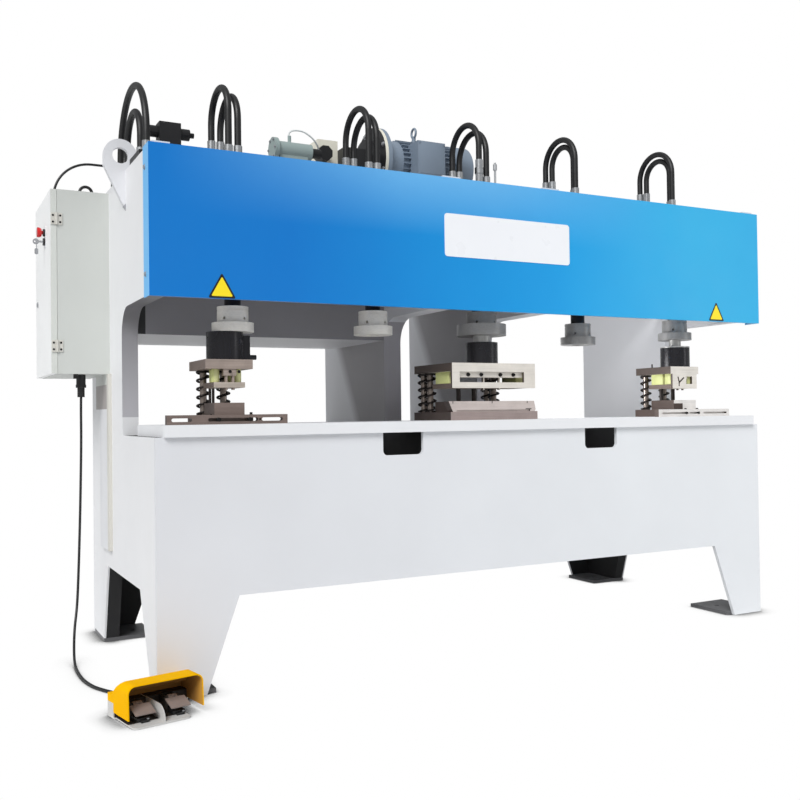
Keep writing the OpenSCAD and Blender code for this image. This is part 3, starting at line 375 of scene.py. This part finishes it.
# Frame, with black painted shade on its inside below the table.
M = {
    "frame": finish("frame_paint", WHITE, tone=0.05, parts=[PAINTED_INSIDE_SHADE]),
    # The left side frame's paint is lighter than the other frames': painted light on its outer face.
    "left_side": finish("left_side_paint", (0.79, 0.795, 0.81, 1), tone=0.05, parts=[
        # Painted shade on the edge inside the throat, darker upwards.
        (throat_edge, painted_throat_shade, 0.5, 0.0), PAINTED_INSIDE_SHADE]),
    # The front panel's white carries painted light, brighter towards the right.
    "panel": finish("panel_paint", panel_painted_light, tone=0.05, parts=[PAINTED_INSIDE_SHADE]),
    "table": finish("table_paint", (0.79, 0.80, 0.82, 1), tone=0.05, parts=[PAINTED_INSIDE_SHADE]),
    # Painted shade on the middle frames: darker front edges in the throat and a soft patch on their left faces,
    # under the cover and arms.
    "middle": finish("middle_frame_paint", WHITE, tone=0.05, parts=[
        (all_of(facing("Y"), within(y=(-0.3, None), z=(0.9, None))), (0.40, 0.39, 0.42, 1), 0.5, 0.0),
        (deep_shade, (0.36, 0.35, 0.365, 1), 0.5, 0.0), PAINTED_INSIDE_SHADE]),
    # Beam paint with painted light and shade: lighter than the frames' on the underside, painted shade on the
    # faces looking -Y under the cover, and a black painted shadow at their left ends.
    "beam": finish("beam_paint", (0.84, 0.84, 0.86, 1), parts=[
        (facing("Y"), (0.25, 0.245, 0.26, 1), 0.5, 0.0),
        (all_of(facing("Y"), within(x=(None, -1.291))), BLACK, 0.6, 0.0)]),
    "foot": finish("foot_plate_paint", (0.11, 0.11, 0.116, 1), tone=0.12),
}
# Cover and signs.
M |= {
    "cover": cover_paint(),
    "plate": finish("plate_white", lin(240, 242, 246), tone=0.02, rough=0.3),
    "warn": finish("triangle_yellow", lin(250, 226, 40), tone=0.03, rough=0.35, specular=0.3),
    "rim": finish("triangle_rim", lin(22, 20, 18), tone=0.1, rough=0.4),
}
# Cabinet and foot switch.
M |= {
    "cabinet": finish("cabinet_paint", lin(200, 203, 199), peel=650.0, parts=[
        (within(x=(-1.56, None), z=(None, 0.963)), lin(222, 223, 226), 0.42, 0.0),
        (within(x=(-1.56, None), z=(0.9625, 1.06)), lin(160, 154, 152), 0.45, 0.0), HINGES]),
    # The door's left face is painted lighter than its faces looking -Y: painted light on the side the key lamp
    # falls on.
    "door": finish("door_paint", lin(246, 247, 247), peel=650.0, parts=[
        (facing("Y"), lin(208, 211, 206), 0.42, 0.0), HINGES, (within(x=(None, -1.6012)), BLACK, 0.4, 0.0)]),
    "black": plastic("black_plastic", lin(24, 24, 26), 0.42, 0.2),
    "red": plastic("red_plastic", lin(204, 26, 26), 0.28, 0.08),
    # The yellow guard is painted brown inside its hollow: painted shade.
    "guard": finish("guard_yellow", lin(240, 180, 0), rough=0.7, tone=0.04, specular=0.04, parts=[
        (guard_inside, guard_painted_shade, 0.8, 0.0)]),
    # The foot switch's grey is painted dark under its guard and behind the pedals' front: painted shade.
    "switch": finish("switch_grey", lin(200, 199, 197), rough=0.55, tone=0.1, parts=[
        (switch_inside, lin(44, 38, 34), 0.7, 0.0)]),
    "pedal": plastic("pedal_grey", lin(142, 128, 122), 0.5, 0.15),
}
# Cylinders, heads and die sets.
M |= {
    "cylinder": metal("cylinder_steel", lin(110, 112, 116), 0.4, 0.8, 0.2, "Z"),
    "rod": metal("rod_dark", lin(46, 46, 50), 0.3, 0.7, 0.2, "Z"),
    "head": metal("head_steel", lin(244, 240, 232), 0.42, 0.1, 0.22),
    "head_grey": metal("head_grey", lin(164, 163, 162), 0.36, 0.3, 0.3),
    "block": metal("block_black", lin(38, 37, 42), 0.26, 0.3, 0.35, "Z", [
        (within(x=(-0.5, None), z=(1.2165, None)), lin(206, 206, 204), 0.35, 0.5)]),
    # On the dies, stripper pins and urethane pads below, the faces that look towards -X are painted darker:
    # painted shade.
    "brown": metal("die_brown", lin(178, 162, 152), 0.45, 0.25, 0.4, parts=[
        (facing("X"), lin(134, 118, 109), 0.5, 0.2)]),
    "brown_low": metal("die_brown_low", lin(134, 118, 111), 0.45, 0.25, 0.4, parts=[
        (facing("X"), lin(96, 84, 79), 0.5, 0.2)]),
    "ivory": metal("die_ivory", lin(232, 226, 217), 0.42, 0.15, 0.22, parts=[
        (facing("X"), lin(82, 70, 64), 0.5, 0.3)]),
    "mauve": metal("die_mauve", lin(212, 200, 195), 0.42, 0.15, 0.32, parts=[
        (within(z=(None, 0.9335)), lin(168, 152, 148), 0.45, 0.2),
        (facing("X"), lin(74, 62, 58), 0.5, 0.3)]),
    "pale": metal("die_pale", lin(232, 228, 224), 0.42, 0.1, 0.25, parts=[
        # Painted shadow on the left part of the lower die, at the back.
        (within(x=(None, 1.03), y=(-0.4895, None), z=(None, 0.96)), lin(74, 60, 54), 0.5, 0.3),
        (facing("X"), lin(80, 66, 60), 0.5, 0.3)]),
    "pin": metal("stripper_steel", lin(196, 184, 172), 0.42, 0.25, 0.3, parts=[
        (facing("X"), lin(110, 96, 88), 0.5, 0.3),
        (within(z=(None, 1.0275)), lin(50, 44, 42), 0.4, 0.6)]),
    "urethane": plastic("urethane", lin(216, 218, 158), 0.45, 0.14, [
        (facing("X"), lin(206, 211, 140), 0.45, 0.0)]),
    "spring": metal("spring_black", lin(40, 34, 32), 0.34, 0.6, 0.3, "Z"),
    "post": metal("post_steel", lin(150, 138, 130), 0.25, 0.7, 0.3, "Z"),
}
# Power unit.
M |= {
    "motor": finish("motor_grey", lin(132, 146, 162), rough=0.45, tone=0.14),
    "rotor": metal("rotor_steel", lin(128, 128, 132), 0.35, 0.8, 0.2),
    "pump": finish("pump_paint", lin(232, 229, 214), rough=0.45, parts=[
        (within(x=(-0.4652, -0.3138)), lin(30, 30, 32), 0.4, 0.0)]),
    "valve": finish("valve_black", lin(28, 28, 31), rough=0.4, tone=0.25, parts=[
        (within(x=(0.2, None)), lin(206, 208, 210), 0.3, 0.5)]),
    "filter": finish("filter_grey", lin(150, 166, 164), rough=0.4, parts=[
        (within(x=(-0.6282, None)), lin(26, 26, 28), 0.45, 0.0)]),
    "hose": plastic("hose_rubber", lin(24, 24, 25), 0.45, 0.2),
    "fitted": plastic("hose_and_fittings", lin(24, 24, 25), 0.45, 0.2, [
        (FERRULES, lin(188, 190, 192), 0.3, 0.75)]),
}
# Small parts.
M |= {
    "gear": plastic("gear_grey", lin(84, 88, 92), 0.45),
    "key": metal("key_steel", lin(196, 198, 202), 0.22, 0.8, 0.2, "Z"),
    "zinc": metal("zinc_screw", lin(190, 192, 196), 0.28, 0.8, 0.2),
    "bolt": metal("black_bolt", lin(26, 24, 24), 0.4, 0.5, 0.3),
    "tube": plastic("clear_tube", lin(226, 230, 230), 0.3, 0.05),
}

# The finish of each CAD node. A node that isn't named has the frame's white.
LOOK = {
    "left_side_frame": "left_side", "left_middle_frame": "middle", "right_middle_frame": "middle",
    "cross_beams": "beam", "foot_plates": "foot", "front_panel": "panel", "table_slab": "table",
    "front_cover": "cover", "cabinet_body": "cabinet", "cabinet_door": "door", "control_gear": "gear",
    "estop_button": "red", "key_switch": "key", "cable_glands": "black", "pedal_base": "switch",
    "pedal_guard": "guard", "left_pedal": "pedal", "right_pedal": "pedal", "pedal_cable": "hose",
    "small_cylinders": "cylinder", "centre_cylinder": "cylinder", "upper_die_1": "brown",
    "upper_die_3": "ivory", "upper_die_5": "ivory", "stripper_1": "pin", "stripper_3": "pin",
    "stripper_5": "pin", "lower_die_1": "brown_low", "lower_die_3": "mauve", "lower_die_5": "pale",
    "guide_posts": "post", "motor": "motor", "motor_rotor": "rotor", "pump_unit": "pump",
    "valves": "valve", "return_filter": "filter", "hydraulic_hoses": "fitted",
}
for k in range(1, 6):
    LOOK[f"ram_{k}"] = "rod"
    LOOK[f"ram_head_{k}"] = "head" if k < 3 else "head_grey"
    LOOK[f"punch_block_{k}"] = "block"
    LOOK[f"urethane_{k}"] = "urethane"
    LOOK[f"die_springs_{k}"] = "spring"
for name, obj in nodes.items():
    obj.data.materials.clear()
    obj.data.materials.append(M[LOOK.get(name, "frame")])


# ---------------------------------------------------------------- mesh helpers, in millimetres
class Shape:
    """Solids gathered into one mesh."""

    def __init__(self):
        self.bm = bmesh.new()

    def block(self, x0, x1, y0, y1, z0, z1, bevel):
        """A block with its edges rounded by the bevel."""
        verts = bmesh.ops.create_cube(self.bm, size=1)["verts"]
        low, high = Vector((x0, y0, z0)) / 1000, Vector((x1, y1, z1)) / 1000
        for v in verts:
            v.co = Vector([(low[i] + high[i]) / 2 + v.co[i] * (high[i] - low[i]) for i in range(3)])
        edges = {e for v in verts for e in v.link_edges}
        bmesh.ops.bevel(self.bm, geom=list(edges), offset=bevel / 1000, segments=2, affect="EDGES", profile=0.5)

    def turned(self, foot, towards, profile, sides=24):
        """A turned part: profile gives (radius, height) pairs along the direction from foot."""
        axis = Vector(towards).normalized()
        place = Matrix.Translation(Vector(foot) / 1000) @ axis.to_track_quat("Z", "Y").to_matrix().to_4x4()
        rings = []
        for r, h in profile:
            turns = [math.tau * i / sides for i in range(sides)] if r > 0 else [0]
            rings.append([self.bm.verts.new(place @ Vector((
                r * math.cos(a) / 1000, r * math.sin(a) / 1000, h / 1000))) for a in turns])
        for a, b in zip(rings, rings[1:]):
            for i in range(sides):
                j = (i + 1) % sides
                if len(a) == 1 and len(b) > 1:
                    self.bm.faces.new((a[0], b[j], b[i]))
                elif len(b) == 1 and len(a) > 1:
                    self.bm.faces.new((a[i], a[j], b[0]))
                elif len(a) > 1:
                    self.bm.faces.new((a[i], a[j], b[j], b[i]))

    def screw(self, foot, towards, r, h):
        """A cap screw with a socket on a thin washer."""
        washer = [(0, 0), (r * 1.45, 0), (r * 1.45, 0.8)]
        cap = [(r, 0.8), (r, h - 0.4), (r - 0.4, h)]
        socket = [(r * 0.52, h), (r * 0.46, h * 0.55), (0, h * 0.55)]
        self.turned(foot, towards, washer + cap + socket)

    def hexagon(self, foot, towards, r, h):
        """A hexagon bolt head with a washer."""
        self.turned(foot, towards, [(0, 0), (r * 1.3, 0), (r * 1.3, 1.4), (r * 0.9, 1.4)])
        self.turned(foot, towards, [(r, 1.2), (r, h - 0.8), (r - 1, h), (0, h)], 6)

    def outline(self, points, y0, y1):
        """A flat part whose outline lies in X and Z."""
        front = [self.bm.verts.new(Vector((x, y0, z)) / 1000) for x, z in points]
        back = [self.bm.verts.new(Vector((x, y1, z)) / 1000) for x, z in points]
        self.bm.faces.new(front)
        self.bm.faces.new(back[::-1])
        n = len(points)
        for i in range(n):
            j = (i + 1) % n
            self.bm.faces.new((front[j], front[i], back[i], back[j]))

    def skin(self, rings):
        """Walls between rings of as many corners each, closed at both ends."""
        for a, b in zip(rings, rings[1:]):
            for i in range(len(a)):
                j = (i + 1) % len(a)
                self.bm.faces.new((a[i], a[j], b[j], b[i]))
        self.bm.faces.new(rings[0][::-1])
        self.bm.faces.new(rings[-1])

    def swept(self, line, r, sides=12):
        """A round bar along a line of points."""
        pts = [Vector(p) for p in line]
        side = Vector((1, 0, 0))
        rings = []
        for i, p in enumerate(pts):
            t = (pts[min(i + 1, len(pts) - 1)] - pts[max(i - 1, 0)]).normalized()
            side = side - side.dot(t) * t
            if side.length < 1e-4:
                side = t.orthogonal()
            side.normalize()
            up = t.cross(side)
            turns = [math.tau * j / sides for j in range(sides)]
            rings.append([self.bm.verts.new((p + r * (math.cos(a) * side + math.sin(a) * up)) / 1000)
                          for a in turns])
        self.skin(rings)

    def made(self, name, material, body="frame"):
        """The piece, smooth but for its sharp edges, riding on its body unless body is None."""
        bmesh.ops.recalc_face_normals(self.bm, faces=self.bm.faces[:])
        mesh = bpy.data.meshes.new(name)
        self.bm.to_mesh(mesh)
        self.bm.free()
        mesh.materials.append(M[material])
        mesh.shade_smooth()
        mesh.set_sharp_from_angle(angle=math.radians(40))
        obj = bpy.data.objects.new(name, mesh)
        bpy.context.scene.collection.objects.link(obj)
        if body:
            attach(obj, body)
        return obj


def rounded(points, r, steps=5):
    """The outline with each corner rounded."""
    out = []
    n = len(points)
    for i in range(n):
        p = Vector(points[i])
        a, b = (Vector(points[i - 1]) - p).normalized(), (Vector(points[(i + 1) % n]) - p).normalized()
        half = math.acos(max(-1, min(1, a.dot(b)))) / 2
        cut = r / math.tan(half)
        c = p + (a + b).normalized() * (r / math.sin(half))
        s, e = p + a * cut - c, p + b * cut - c
        turn = math.atan2(s.x * e.y - s.y * e.x, s.dot(e))
        for j in range(steps + 1):
            t = turn * j / steps
            out.append(tuple(c + Vector((s.x * math.cos(t) - s.y * math.sin(t),
                                         s.x * math.sin(t) + s.y * math.cos(t)))))
    return out


def smooth(points, steps):
    """A smooth line through the points."""
    pts = [Vector(p) for p in points]
    line = []
    for i in range(len(pts) - 1):
        a, b, c, d = pts[max(i - 1, 0)], pts[i], pts[i + 1], pts[min(i + 2, len(pts) - 1)]
        for j in range(steps):
            t = j / steps
            line.append(0.5 * (2 * b + (c - a) * t + (2 * a - 5 * b + 4 * c - d) * t * t
                               + (3 * b - a - 3 * c + d) * t ** 3))
    line.append(pts[-1])
    return line


# ---------------------------------------------------------------- die springs
def spring_line(x, y, z0, z1, r, wire, turns=5, steps=28):
    """A compression spring with closed ends."""
    total = (turns + 1) * steps
    low, high = z0 + wire + 0.3, z1 - wire - 0.3
    out = []
    for i in range(total + 1):
        a = math.tau * i / steps
        rise = min(max((i - steps / 2) / (total - steps), 0), 1)
        out.append((x + r * math.cos(a), y + r * math.sin(a), low + (high - low) * rise))
    return out


SPRING_R, WIRE_R = 22, 4
POSTS = {
    1: [(-1143, -320), (-1068, -320)],
    3: [(-180, -292), (-180, -236), (130, -292), (130, -236)],
    5: [(985, -290), (1097, -290)],
}
for k, places in POSTS.items():
    coils = Shape()
    for x, y in places:
        coils.swept(spring_line(x, y, BASE_TOP, DIE_UNDERSIDE, SPRING_R, WIRE_R), WIRE_R)
    springs = coils.made(f"coil_springs_{k}", "spring", None)
    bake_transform(springs)
    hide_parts(f"die_springs_{k}")


# ---------------------------------------------------------------- urethane pads
def round_pads(places):
    """Round pads that bulge a little between the plates."""
    barrel = [(0, 0), (13.6, 0), (14.6, 3), (15, 9), (15, 16), (15, 23.5), (15, 31), (15, 38), (14.6, 44),
              (13.6, 47), (0, 47)]
    pads = Shape()
    for x, y in places:
        pads.turned((x, y, STRIPPER_TOP), UP, barrel, 32)
    return pads


def square_pads(boxes):
    """Square pads with rounded corners, drawn in a little at both ends."""
    levels = ((0, 1.2), (3, 0.3), (12, 0), (23.5, 0), (35, 0), (44, 0.3), (47, 1.2))
    pads = Shape()
    for x0, x1, y0, y1 in boxes:
        rim = rounded([(x0, y0), (x1, y0), (x1, y1), (x0, y1)], 3, 3)
        cx, cy = (x0 + x1) / 2, (y0 + y1) / 2
        rings = []
        for h, inset in levels:
            sx, sy = 1 - 2 * inset / (x1 - x0), 1 - 2 * inset / (y1 - y0)
            z = (STRIPPER_TOP + h) / 1000
            rings.append([pads.bm.verts.new(((cx + (x - cx) * sx) / 1000, (cy + (y - cy) * sy) / 1000, z))
                          for x, y in rim])
        pads.skin(rings)
    return pads


PADS = {
    1: round_pads([(-1136, -450), (-1122, -380), (-1057, -450), (-1057, -380)]),
    3: square_pads([(-188, -138, -455, -350), (134, 184, -455, -350)]),
    5: square_pads([(968, 1006, -420, -345), (968, 1006, -471, -432), (1070, 1108, -420, -345),
                    (1070, 1108, -471, -432)]),
}
for k, shape in PADS.items():
    pads = shape.made(f"urethane_pads_{k}", "urethane", None)
    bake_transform(pads)
    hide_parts(f"urethane_{k}")


# ---------------------------------------------------------------- cover: bare plate and blank triangles
def triangle(side, x0, x1, z0, z1):
    """A blank warning triangle: a dark rim with a yellow face that stands a little proud of it."""
    tri = [(x0, z0), (x1, z0), ((x0 + x1) / 2, z1)]
    middle = Vector(((x0 + x1) / 2, z0 + (z1 - z0) / 3))
    inner = [tuple(middle + (Vector(p) - middle) * 0.78) for p in tri]
    rim, face = Shape(), Shape()
    rim.outline(rounded(tri, 4), COVER_FACE - 0.6, COVER_FACE)
    rim.made(f"triangle_rim_{side}", "rim")
    face.outline(rounded(inner, 3), COVER_FACE - 0.9, COVER_FACE - 0.5)
    face.made(f"triangle_{side}", "warn")


plate = Shape()
plate.outline(rounded([(-280, 1527), (310, 1527), (310, 1692), (-280, 1692)], 12), COVER_FACE - 1.4, COVER_FACE)
plate.made("bare_name_plate", "plate")
triangle("left", -1201, -1104, 1326.5, 1412)
triangle("right", 1080, 1174, 1328, 1413)

# ---------------------------------------------------------------- cover screws and lug tip
screws = Shape()
for side in (-1, 1):
    for z in (1401, 1757):
        screws.screw((side * COVER_END, -545, z), (side, 0, 0), 7, 5)
screws.made("cover_screws", "zinc")
tip = Shape()
tip.outline([(-1392, 1703), (-1380.5, 1690), (-1369, 1703), (-1380.5, 1716)], -156, -153)
tip.made("lug_tip", "zinc")

# ---------------------------------------------------------------- cabinet: hinge screws, legend, lock, key ring
HINGE_Y = 177
HINGE_SCREW = [(4.2, 0), (4.2, 0.6), (3.4, 1.1), (1.2, 1.1), (1.0, 0.5), (0, 0.5)]
for part, x, body in (("body", -1565, "frame"), ("door", -1592, "door")):
    screws = Shape()
    for hinge_z in (1187, 1685):
        for dz in (10, 36):
            screws.turned((x, HINGE_Y, hinge_z + dz), FORWARD, HINGE_SCREW)
    screws.made(f"hinge_screws_{part}", "bolt", body)

legend = Shape()
legend.block(DOOR_FACE - 1.2, DOOR_FACE, 314, 366, 1617, 1705, 0.5)
legend.made("switch_legend", "plate", "door")

lock = Shape()
lock.turned((DOOR_FACE, 590, 1413), LEFT, [(13, 0), (13, 2), (11, 4), (6, 4), (5.4, 2.4), (0, 2.4)])
lock.block(DOOR_FACE - 6.5, DOOR_FACE - 2, 588.6, 591.4, 1405, 1421, 0.4)
lock.made("door_lock", "zinc", "door")


def ring_line(x, y, z, r, steps):
    """A ring that hangs from the point, nearly in line with the door."""
    turns = [math.tau * i / steps for i in range(steps + 1)]
    return [(x + 2 * math.sin(a), y + r * math.sin(a), z - r + r * math.cos(a)) for a in turns]


ring = Shape()
ring.swept(ring_line(-1634, 340, 1633, 10, 28), 0.9, 8)
ring.outline(rounded([(-1642, 1590), (-1628, 1590), (-1628, 1614), (-1642, 1614)], 5), 338.8, 341.2)
ring.made("key_ring", "key", "key")

# ---------------------------------------------------------------- die sets: bolts, marks and stud
RAIL_BOLT_Y = corner("lower_die_1", min)[1] + 2  # the washers are let in 2 mm behind the rails' front

bolts = Shape()
for x in (-122, -61, 30, 93):
    bolts.screw((x, -496, 1081), FORWARD, 5.5, 9)
bolts.made("holder_bolts_3", "bolt", "press_3")

marks = Shape()
for x in (-196, -13, 158):
    marks.block(x - 1.6, x + 1.6, -500.4, -499, 966, 975, 0.3)
marks.block(150, 178, -501.2, -500, 941, 944, 0.3)
marks.made("die_set_marks_3", "bolt")

rail = Shape()
for x in (-1143, -1030):
    rail.hexagon((x, RAIL_BOLT_Y, 917), FORWARD, 7, 5)
rail.screw((-1022, -498, BASE_TOP), UP, 5, 8)
rail.screw((-1166, -498, BASE_TOP), UP, 3, 3)
rail.made("rail_bolts_1", "bolt")

rail = Shape()
for x in (1022, 1098):
    rail.hexagon((x, RAIL_BOLT_Y, 916), FORWARD, 6, 5)
for x in (1030, 1100):
    rail.screw((x, -497, BASE_TOP), UP, 5, 5)
rail.made("rail_bolts_5", "bolt")

stud = Shape()
stud.turned((1016, -300, 1127), UP, [(7, 0), (7, 4), (3.5, 4), (3.5, 19), (2.5, 20), (0, 20)])
stud.made("lift_stud_5", "bolt", "press_5")

bolts = Shape()
for x in (-1094, -1062):
    bolts.screw((x, -490, 1084), FORWARD, 4, 5)
bolts.made("holder_bolts_1", "bolt", "press_1")


# ---------------------------------------------------------------- power unit
def bolt_circle(shape, centre, circle_r, angles, r, h):
    """Hexagon bolts on a circle round the centre, on a face that looks towards -X."""
    x, y, z = centre
    for a in angles:
        shape.hexagon((x, y + circle_r * math.cos(a), z + circle_r * math.sin(a)), LEFT, r, h)


lid = Shape()
lid.block(-171, -39, -200, -198, 1941, 2089, 1.2)
lid.block(-164, -46, -201.5, -200, 1952, 2078, 0.6)
for x in (-163, -47):
    for z in (1949, 2081):
        lid.screw((x, -200, z), FORWARD, 4, 3)
lid.made("terminal_box_lid", "motor")

bolts = Shape()
bolt_circle(bolts, (-314, -30, 2015), 136, [math.tau * (i + 0.5) / 8 for i in range(8)], 8, 7)
bolt_circle(bolts, (-793, -110, 2002), 38, [math.tau * i / 6 for i in range(6)], 5, 5)
bolts.made("flange_bolts", "zinc")

# The tube bends from the nozzle on the return filter down towards the filler cap, and stops one step
# short of the last point.
BEND = [(-722, -110, 2062), (-716, -112, 2078), (-696, -116, 2086), (-660, -118, 2084), (-622, -114, 2066),
        (-596, -104, 2044), (-582, -90, 2026)]
sight = Shape()
sight.swept(smooth(BEND, 6)[:-1], 3.5)
sight.made("sight_tube", "tube")


# ---------------------------------------------------------------- foot switch mechanism
def switch_block(shape, x0, x1, y0, y1, z0, z1, bevel=0.6):
    """A block given in the foot switch's own turned frame."""
    start = len(shape.bm.verts)
    shape.block(x0, x1, y0, y1, z0, z1, bevel)
    shape.bm.verts.ensure_lookup_table()
    for v in shape.bm.verts[start:]:
        v.co = Vector(on_switch(*v.co))


works = Shape()
terminals = Shape()
for x in (-69, 46):
    switch_block(works, x - 20, x + 20, 4, 50, 5.2, 17)
    switch_block(works, x - 12, x + 12, -8, 6, 5.2, 13)
    switch_block(works, x - 21.5, x + 21.5, 70, 106, 5.2, 44)
    switch_block(terminals, x + 6, x + 13, -6, 1, 13, 17, 1.2)
works.made("switch_works", "black")
terminals.made("switch_screws", "zinc")

# ---------------------------------------------------------------- foot switch cable
CABLE_R = 0.005
ROUTE = [(-1.480, 0.256, 1.012), (-1.481, 0.254, 0.960), (-1.482, 0.252, 0.800), (-1.490, 0.246, 0.500),
         (-1.504, 0.226, 0.220), (-1.524, 0.170, 0.105), (-1.537, 0.100, 0.038), (-1.548, 0.000, 0.009),
         (-1.553, -0.120, 0.0055), (-1.549, -0.225, 0.0052), (-1.533, -0.315, 0.0052),
         (-1.510, -0.375, 0.0052), (-1.484, -0.430, 0.0052), (-1.472, -0.490, 0.0052),
         (-1.482, -0.550, 0.010), on_switch(-0.060, 0.196, 0.022), on_switch(-0.060, 0.174, 0.024)]


def tube(name, line, radius, material):
    """A round curve along a line of points."""
    curve = bpy.data.curves.new(name, "CURVE")
    curve.dimensions = "3D"
    curve.bevel_depth = radius
    curve.bevel_resolution = 5
    curve.use_fill_caps = True
    spline = curve.splines.new("POLY")
    spline.points.add(len(line) - 1)
    for p, q in zip(spline.points, line):
        p.co = (*q, 1)
    curve.materials.append(material)
    obj = bpy.data.objects.new(name, curve)
    bpy.context.scene.collection.objects.link(obj)
    return obj


line = smooth(ROUTE, 8)
cable = tube("foot_switch_cable", line, CABLE_R, M["hose"])
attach(cable, "frame")
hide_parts("pedal_cable")

# ---------------------------------------------------------------- camera
EYE = (-2.0882, -3.6862, 0.9259)
LENS_MM, SENSOR_MM = 42.356, 36
yaw, pitch, roll = math.radians(27.49), math.radians(0.88), math.radians(-0.75)
ahead = Vector((math.sin(yaw) * math.cos(pitch), math.cos(yaw) * math.cos(pitch), math.sin(pitch)))
level = Vector((math.cos(yaw), -math.sin(yaw), 0))
above = level.cross(ahead)
across = level * math.cos(roll) + above * math.sin(roll)
upright = -level * math.sin(roll) + above * math.cos(roll)

lens = bpy.data.cameras.new("camera")
lens.lens = LENS_MM
lens.sensor_width = SENSOR_MM
lens.clip_start = 0.05
lens.clip_end = 60
camera = bpy.data.objects.new("camera", lens)
camera.matrix_world = Matrix([(across[i], upright[i], -ahead[i], EYE[i]) for i in range(3)] + [(0, 0, 0, 1)])
bpy.context.scene.collection.objects.link(camera)
bpy.context.scene.camera = camera


# ---------------------------------------------------------------- floor
def floor_material():
    """Pale floor, seen as a white glow with a painted soft shade where something stands on it."""
    s = Shader("floor")
    seen = s.add("ShaderNodeLightPath").outputs["Is Camera Ray"]
    diffuse = s.add("ShaderNodeBsdfDiffuse")
    pale = s.mix(s.span(s.noise(3, 3), 0.3, 0.7), (0.76, 0.76, 0.76, 1), (0.79, 0.79, 0.79, 1))
    s.link(pale, diffuse.inputs["Color"])
    # Painted contact shade: the glow seen by the camera dims where ambient occlusion finds something near.
    near = s.add("ShaderNodeAmbientOcclusion", samples=8)
    near.inputs["Distance"].default_value = 0.085
    glow = s.add("ShaderNodeEmission")
    s.link(s.span(near.outputs["AO"], 0.42, 0.93), glow.inputs["Strength"])
    s.link(s.either_shader(seen, diffuse.outputs[0], glow.outputs[0]), s.out.inputs[0])
    return s.mat


HALF_FLOOR = 14
mesh = bpy.data.meshes.new("floor")
mesh.from_pydata([(x * HALF_FLOOR, y * HALF_FLOOR, 0) for x, y in ((-1, -1), (1, -1), (1, 1), (-1, 1))], [],
                 [(0, 1, 2, 3)])
mesh.materials.append(floor_material())
floor = bpy.data.objects.new("floor", mesh)
bpy.context.scene.collection.objects.link(floor)


# ---------------------------------------------------------------- world and lamps
def light_world():
    """White where it is seen, straight or through something clear, and a plain pale light elsewhere."""
    world = bpy.data.worlds.new("world")
    bpy.context.scene.world = world
    world.use_nodes = True
    n = Nodes(world.node_tree)
    white, pale = n.add("ShaderNodeBackground"), n.add("ShaderNodeBackground")
    white.inputs["Color"].default_value = (1, 1, 1, 1)
    pale.inputs["Color"].default_value = (0.97, 0.985, 1, 1)
    pale.inputs["Strength"].default_value = 0.45
    ray = n.add("ShaderNodeLightPath").outputs
    seen = n.maths("MAXIMUM", ray["Is Camera Ray"], ray["Is Transmission Ray"])
    out = n.add("ShaderNodeOutputWorld")
    n.link(n.either_shader(seen, pale.outputs[0], white.outputs[0]), out.inputs[0])


def add_lamp(name, lamp, towards, power):
    """Put a lamp in the scene, pointing one way."""
    lamp.energy = power
    obj = bpy.data.objects.new(name, lamp)
    obj.rotation_mode = "QUATERNION"
    obj.rotation_quaternion = Vector(towards).to_track_quat("-Z", "Y")
    bpy.context.scene.collection.objects.link(obj)
    return obj


def sun(name, towards, power, degrees):
    lamp = bpy.data.lights.new(name, "SUN")
    lamp.angle = math.radians(degrees)
    add_lamp(name, lamp, towards, power)


def panel_light(name, place, towards, size, power):
    lamp = bpy.data.lights.new(name, "AREA")
    lamp.shape = "RECTANGLE"
    lamp.size, lamp.size_y = size
    obj = add_lamp(name, lamp, towards, power)
    obj.location = place
    obj.visible_camera = False


light_world()
sun("key", (0.55, 0.52, -0.66), 2.6, 30)
panel_light("right_bay", (0.35, -0.12, 1.08), (1, 0.12, 0.02), (0.4, 0.2), 3.8)
panel_light("window", (4.2, -4.0, 1.7), (-0.72, 0.69, -0.08), (0.5, 2.4), 13)

bpy.context.scene.view_settings.view_transform = "Standard"
